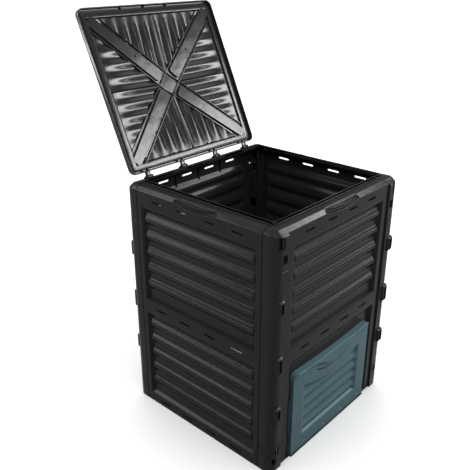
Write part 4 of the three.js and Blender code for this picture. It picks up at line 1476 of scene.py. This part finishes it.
@dataclass
class Lid:
    """The lid, drawn closed about its middle from its skirt's rim up, in millimetres."""

    half_x: float = 282.0
    half_y: float = 258.0
    corner: float = 22.0
    border: float = 29.5
    border_rise: float = 7.5
    height: float = 20.0
    edge_rise: float = 12.0
    centre_rise: float = 32.5
    swell: float = 3.8
    fade: float = 105.0
    pitch: float = 42.0
    arm_inner: float = 22.0
    arm_outer: float = 17.0
    arm_start: float = 40.0
    arm_edge: float = 6.6
    arm_centre: float = 26.0
    channel_half: float = 29.0
    channel_drop: float = 6.3
    mark_at: float = 150.0
    mark_section: tuple[Point, ...] = ((4.6, 3.0), (4.6, -0.4), (4.0, -1.0), (2.6, -1.0), (2.2, -0.2))
    rib: float = 1.0
    rib_drop: float = 0.7
    rib_height: float = 8.0
    lift: float = -0.2
    open_angle: float = 114.77
    cell: float = 2.6
    wall: float = 3.0
    skirt: float = 3.0
    channel_top: float = 14.0
    channel_sides: tuple[float, float] = (9.5, 11.0)
    bevel: float = 4.5
    lap: float = 1.0
    middle_steps: tuple[float, ...] = (1.1, 2.2, 3.3, 4.5, 6.0)
    cells_from: float = 8.0
    cells_stop: float = 7.0
    edge_steps: tuple[float, ...] = (1.2, 2.2, 3.2, 4.4, 5.6)
    groove: float = 3.5
    groove_half: float = 2.2
    middle_groove: float = 5.5
    middle_half: float = 5.4
    cross_groove: float = 3.2
    cross_half: float = 2.2
    bed: float = 4.2
    bed_slope: float = 1.6
    bed_fade: float = 30.0
    bed_wall: float = 2.0
    room_least: float = 2.2
    room_most: float = 6.0
    room_gain: float = 0.02
    end_gap: float = 5.0
    bend: float = 10.0
    bar_section: tuple[Point, ...] = ((0.0, 9.0), (0.0, 1.4), (0.2, 0.5), (0.9, 0.0), (2.2, 0.0))
    middle_pad: tuple[float, float, float] = (34.0, 31.0, 3.0)
    pad_levels: tuple[float, float] = (7.5, 4.5)
    divider_places: tuple[float, ...] = (-113.0, -19.0, 76.0)
    divider_half: float = 0.8
    divider_levels: tuple[float, float] = (8.0, 15.0)
    heel: float = 6.0
    gusset_gap: float = 2.0
    gusset_half: float = 1.4
    gusset_reach: tuple[float, float] = (222.0, 254.0)
    gusset_levels: tuple[float, float] = (8.6, 15.0)

    def frame(self) -> bpy.types.Object:
        """The border with its skirt and the channel inside it."""
        (top, foot), low, high = self.channel_sides, self.border_rise, self.channel_top
        section = [(self.border, low), (foot, low), (top, high), (self.skirt, high), (self.skirt, 0), (0, 0)]
        section += [(0, self.height - self.bevel), (self.bevel, self.height), (self.border, self.height)]
        rings = []
        for inset, z in filleted(section, 1.1, 2, closed=True):
            radius = max(self.corner - inset, 2.0)
            plan = rounded_plan(self.half_x - inset, self.half_y - inset, radius)
            rings.append([(x, y, z) for x, y in plan])
        return tube("border", np.array(rings) * MM, closed=True)

    def deck(self, shop: Workshop) -> bpy.types.Object:
        """The four ribbed sectors of the deck, whose waves die out towards the border."""
        deck_x, deck_y = self.half_x - self.border + self.lap, self.half_y - self.border + self.lap
        lines = []
        for half in (deck_x, deck_y):
            edge = [half - away for away in self.edge_steps]
            cells = np.arange(self.cells_from, half - self.cells_stop, self.cell)
            place = np.array([*self.middle_steps, *cells, *edge, half])
            lines.append(np.array([*sorted(-place), 0.0, *sorted(place)]))
        rows = np.array([[(x, y, 0.0) for x in lines[0]] for y in lines[1][::-1]])
        sizes = named_sizes(
            self, "edge_rise", "centre_rise", "swell", "fade", "pitch", "channel_half", "groove",
            "groove_half", "middle_groove", "middle_half", "cross_groove", "cross_half", "bed", "bed_fade",
            "room_least", "room_most",
        )
        graph = Shaper("deck", sizes | {"Half x": deck_x * MM, "Half y": deck_y * MM})
        size = graph.size
        x, y, _ = graph.place()
        across, along = abs(x) / size("Half x"), abs(y) / size("Half y")
        sideways = along.less(across)
        reach = across.higher(along, 0.0)
        rise = size("Centre rise") - (size("Centre rise") - size("Edge rise")) * reach
        line = x + (y - x) * sideways
        to_border = (1.0 - reach) * size("Half y")
        diagonal = math.atan2(deck_y, deck_x)
        to_arm = abs(abs(x) * math.sin(diagonal) - abs(y) * math.cos(diagonal)) - size("Channel half")
        swell = (to_border / size("Fade")).lower(1.0, 0.3) * size("Swell")
        wave = graph.math("COSINE", line / size("Pitch") * (2 * math.pi)) * swell * -1.0
        rim = 1.0 - abs(to_border - size("Groove half")) / size("Groove half")
        middle = (1.0 - abs(x) / size("Middle half")) * (1.0 - sideways)
        cross = (1.0 - abs(y) / size("Cross half")) * sideways
        groove = rim.higher(0.0, 0.0) * size("Groove") + middle.higher(0.0, 0.0) * size("Middle groove")
        groove = groove + cross.higher(0.0, 0.0) * size("Cross groove")
        sunk = (to_arm * -self.bed_slope).lower(size("Bed"), 0.0).higher(0.0, 0.0)
        sunk = sunk * (to_border / size("Bed fade")).lower(1.0, 0.0)
        room = (reach * self.room_gain + size("Room least")).lower(size("Room most"), 0.0)
        graph.move(0.0, 0.0, rise + wave + groove.lower(room, 0.0) + sunk)
        return graph.shape(sheet("deck", rows * MM), shop.materials[LID_BLACK.slot], self.wall * MM)

    @staticmethod
    def strip(
        turn: tuple[float, float], places: Sequence[float], section: Callable[[float], np.ndarray]
    ) -> bpy.types.Object:
        """A bar along a diagonal.

        Args:
            turn: the diagonal's direction.
            places: distances from the middle.
            section: gives the points [across, up] at one distance.

        Returns:
            The closed bar.
        """
        rings = []
        for r in places:
            ring = [(r * turn[0] - t * turn[1], r * turn[1] + t * turn[0], z) for t, z in section(r)]
            rings.append(ring)
        return tube("bar", np.array(rings) * MM)

    def arms(self) -> list[bpy.types.Object]:
        """The cross: its middle, and four tapered bars that each lie in a channel between two thin ribs."""
        deck_x, deck_y = self.half_x - self.border, self.half_y - self.border
        reach = math.hypot(deck_x, deck_y)
        start, stop, bend = self.arm_start, reach - self.end_gap, self.bend
        turns = [bend * (1 - math.cos(angle)) for angle in np.linspace(0.3, math.pi / 2, 6)]
        ends = [start + turn for turn in turns], [stop - turn for turn in reversed(turns)]
        places = [*ends[0], *np.linspace(start + bend + 4, stop - bend - 4, 12), *ends[1]]

        def face(r: float) -> float:
            """The height of the bars' face."""
            return self.arm_centre + (self.arm_edge - self.arm_centre) * min(r / reach, 1.0)

        def bar(r: float) -> np.ndarray:
            """A bar's section."""
            near = min(r - start, stop - r, bend)
            narrow = bend - math.sqrt(max(0.0, bend * bend - (bend - near) ** 2))
            half = self.arm_inner + (self.arm_outer - self.arm_inner) * (r - start) / (stop - start) - narrow
            half_line = [(half - inset, face(r) + up) for inset, up in self.bar_section]
            return np.array([*half_line, *[(-t, z) for t, z in reversed(half_line)]])

        def oblong(near: float, far: float, low: float, height: float) -> np.ndarray:
            """An oblong section between two places across and up from a height."""
            return np.array([(near, low), (far, low), (far, low + height), (near, low + height)])

        def bed(r: float) -> np.ndarray:
            """The section of a channel's floor."""
            return oblong(-self.channel_half, self.channel_half, face(r) + self.channel_drop, self.bed_wall)

        def rib(lateral: float) -> Callable[[float], np.ndarray]:
            """The section of a thin rib beside the bars."""
            near, far = lateral - self.rib, lateral + self.rib
            return lambda r: oblong(near, far, face(abs(r)) + self.rib_drop, self.rib_height)

        plan = rounded_plan(*self.middle_pad)
        rings = [[(x, y, self.arm_centre + up) for x, y in plan] for up in self.pad_levels]
        made = [tube("centre", np.array(rings) * MM)]
        for side_y in (-1, 1):
            turn = (deck_x / reach, side_y * deck_y / reach)
            for sign in (-1, 1):
                way = (sign * turn[0], sign * turn[1])
                made.append(self.strip(way, places, bar))
                made.append(self.strip(way, np.linspace(start - 22, stop - 24, 6), bed))
                made.append(self.mark(way, face(self.mark_at)))
            for lateral in (-self.channel_half, self.channel_half):
                made.append(self.strip(turn, np.linspace(-reach + 26, reach - 26, 41), rib(lateral)))
        return made

    def mark(self, way: tuple[float, float], low: float) -> bpy.types.Object:
        """The round mark that the mould leaves on a bar."""
        rings = []
        for radius, depth in self.mark_section:
            circle = rounded_plan(radius, radius, radius, 6) + self.mark_at * np.array(way)
            rings.append([(x, y, low + depth) for x, y in circle])
        return tube("mark", np.array(rings) * MM)

    def dividers(self) -> list[bpy.types.Object]:
        """The thin ribs across the front border and its channel."""
        half, (low, high) = self.divider_half, self.divider_levels
        outer, inner = 2 - self.half_y, self.border - self.half_y
        return [
            block((at - half, outer, low), (at + half, inner, high), radius=0.3) for at in self.divider_places
        ]

    def hinge_parts(self, hinges: Hinges) -> list[bpy.types.Object]:
        """The hinge arms with their knuckles, heels and gussets."""
        made = []
        y, z = hinges.line_y, -self.lift
        half, (back, front), (foot, head) = self.gusset_half, self.gusset_reach, self.gusset_levels
        for at in hinges.stations:
            low, high = at - hinges.arm_half, at + hinges.arm_half
            made.append(block((low, self.half_y - 4, z - 1), (high, y, z + hinges.knuckle), radius=1.2))
            made.append(block((low, y, z), (high, y + self.heel, z + self.heel), radius=1.2))
            made.append(rod("knuckle", hinges.knuckle, (low, y, z), high - low, hinges.knuckle_ease))
            for side in (-1, 1):
                rib = at + side * (hinges.arm_half + self.gusset_gap)
                made.append(block((rib - half, back, foot), (rib + half, front, head), radius=0.6))
        return made

    def build(self, shop: Workshop, hinges: Hinges) -> None:
        """Build the lid and set it open."""
        parts = [self.frame(), self.deck(shop), *self.arms(), *self.dividers(), *self.hinge_parts(hinges)]
        line = Matrix.Translation((0, hinges.line_y * MM, hinges.line_z * MM))
        turn = Matrix.Rotation(-math.radians(self.open_angle), 4, "X")
        seat = Matrix.Translation((0, -hinges.line_y * MM, self.lift * MM))
        piece = moved(joined("lid_moulding", parts), line @ turn @ seat)
        shop.finish(piece, LID_BLACK, "lid", "lid")


def main() -> None:
    """Build the studio and every piece."""
    logging.basicConfig(level=logging.INFO, format="%(name)s: %(message)s")
    studio = Studio()
    studio.build()
    shop = Workshop()
    body = Bin()
    body.build(shop)
    body.hinges.pins(shop)
    Hatch().build(shop)
    Lid().build(shop, body.hinges)
    studio.flag("edge box", bpy.data.objects["lid_moulding"])


if __name__ == "__main__":
    main()
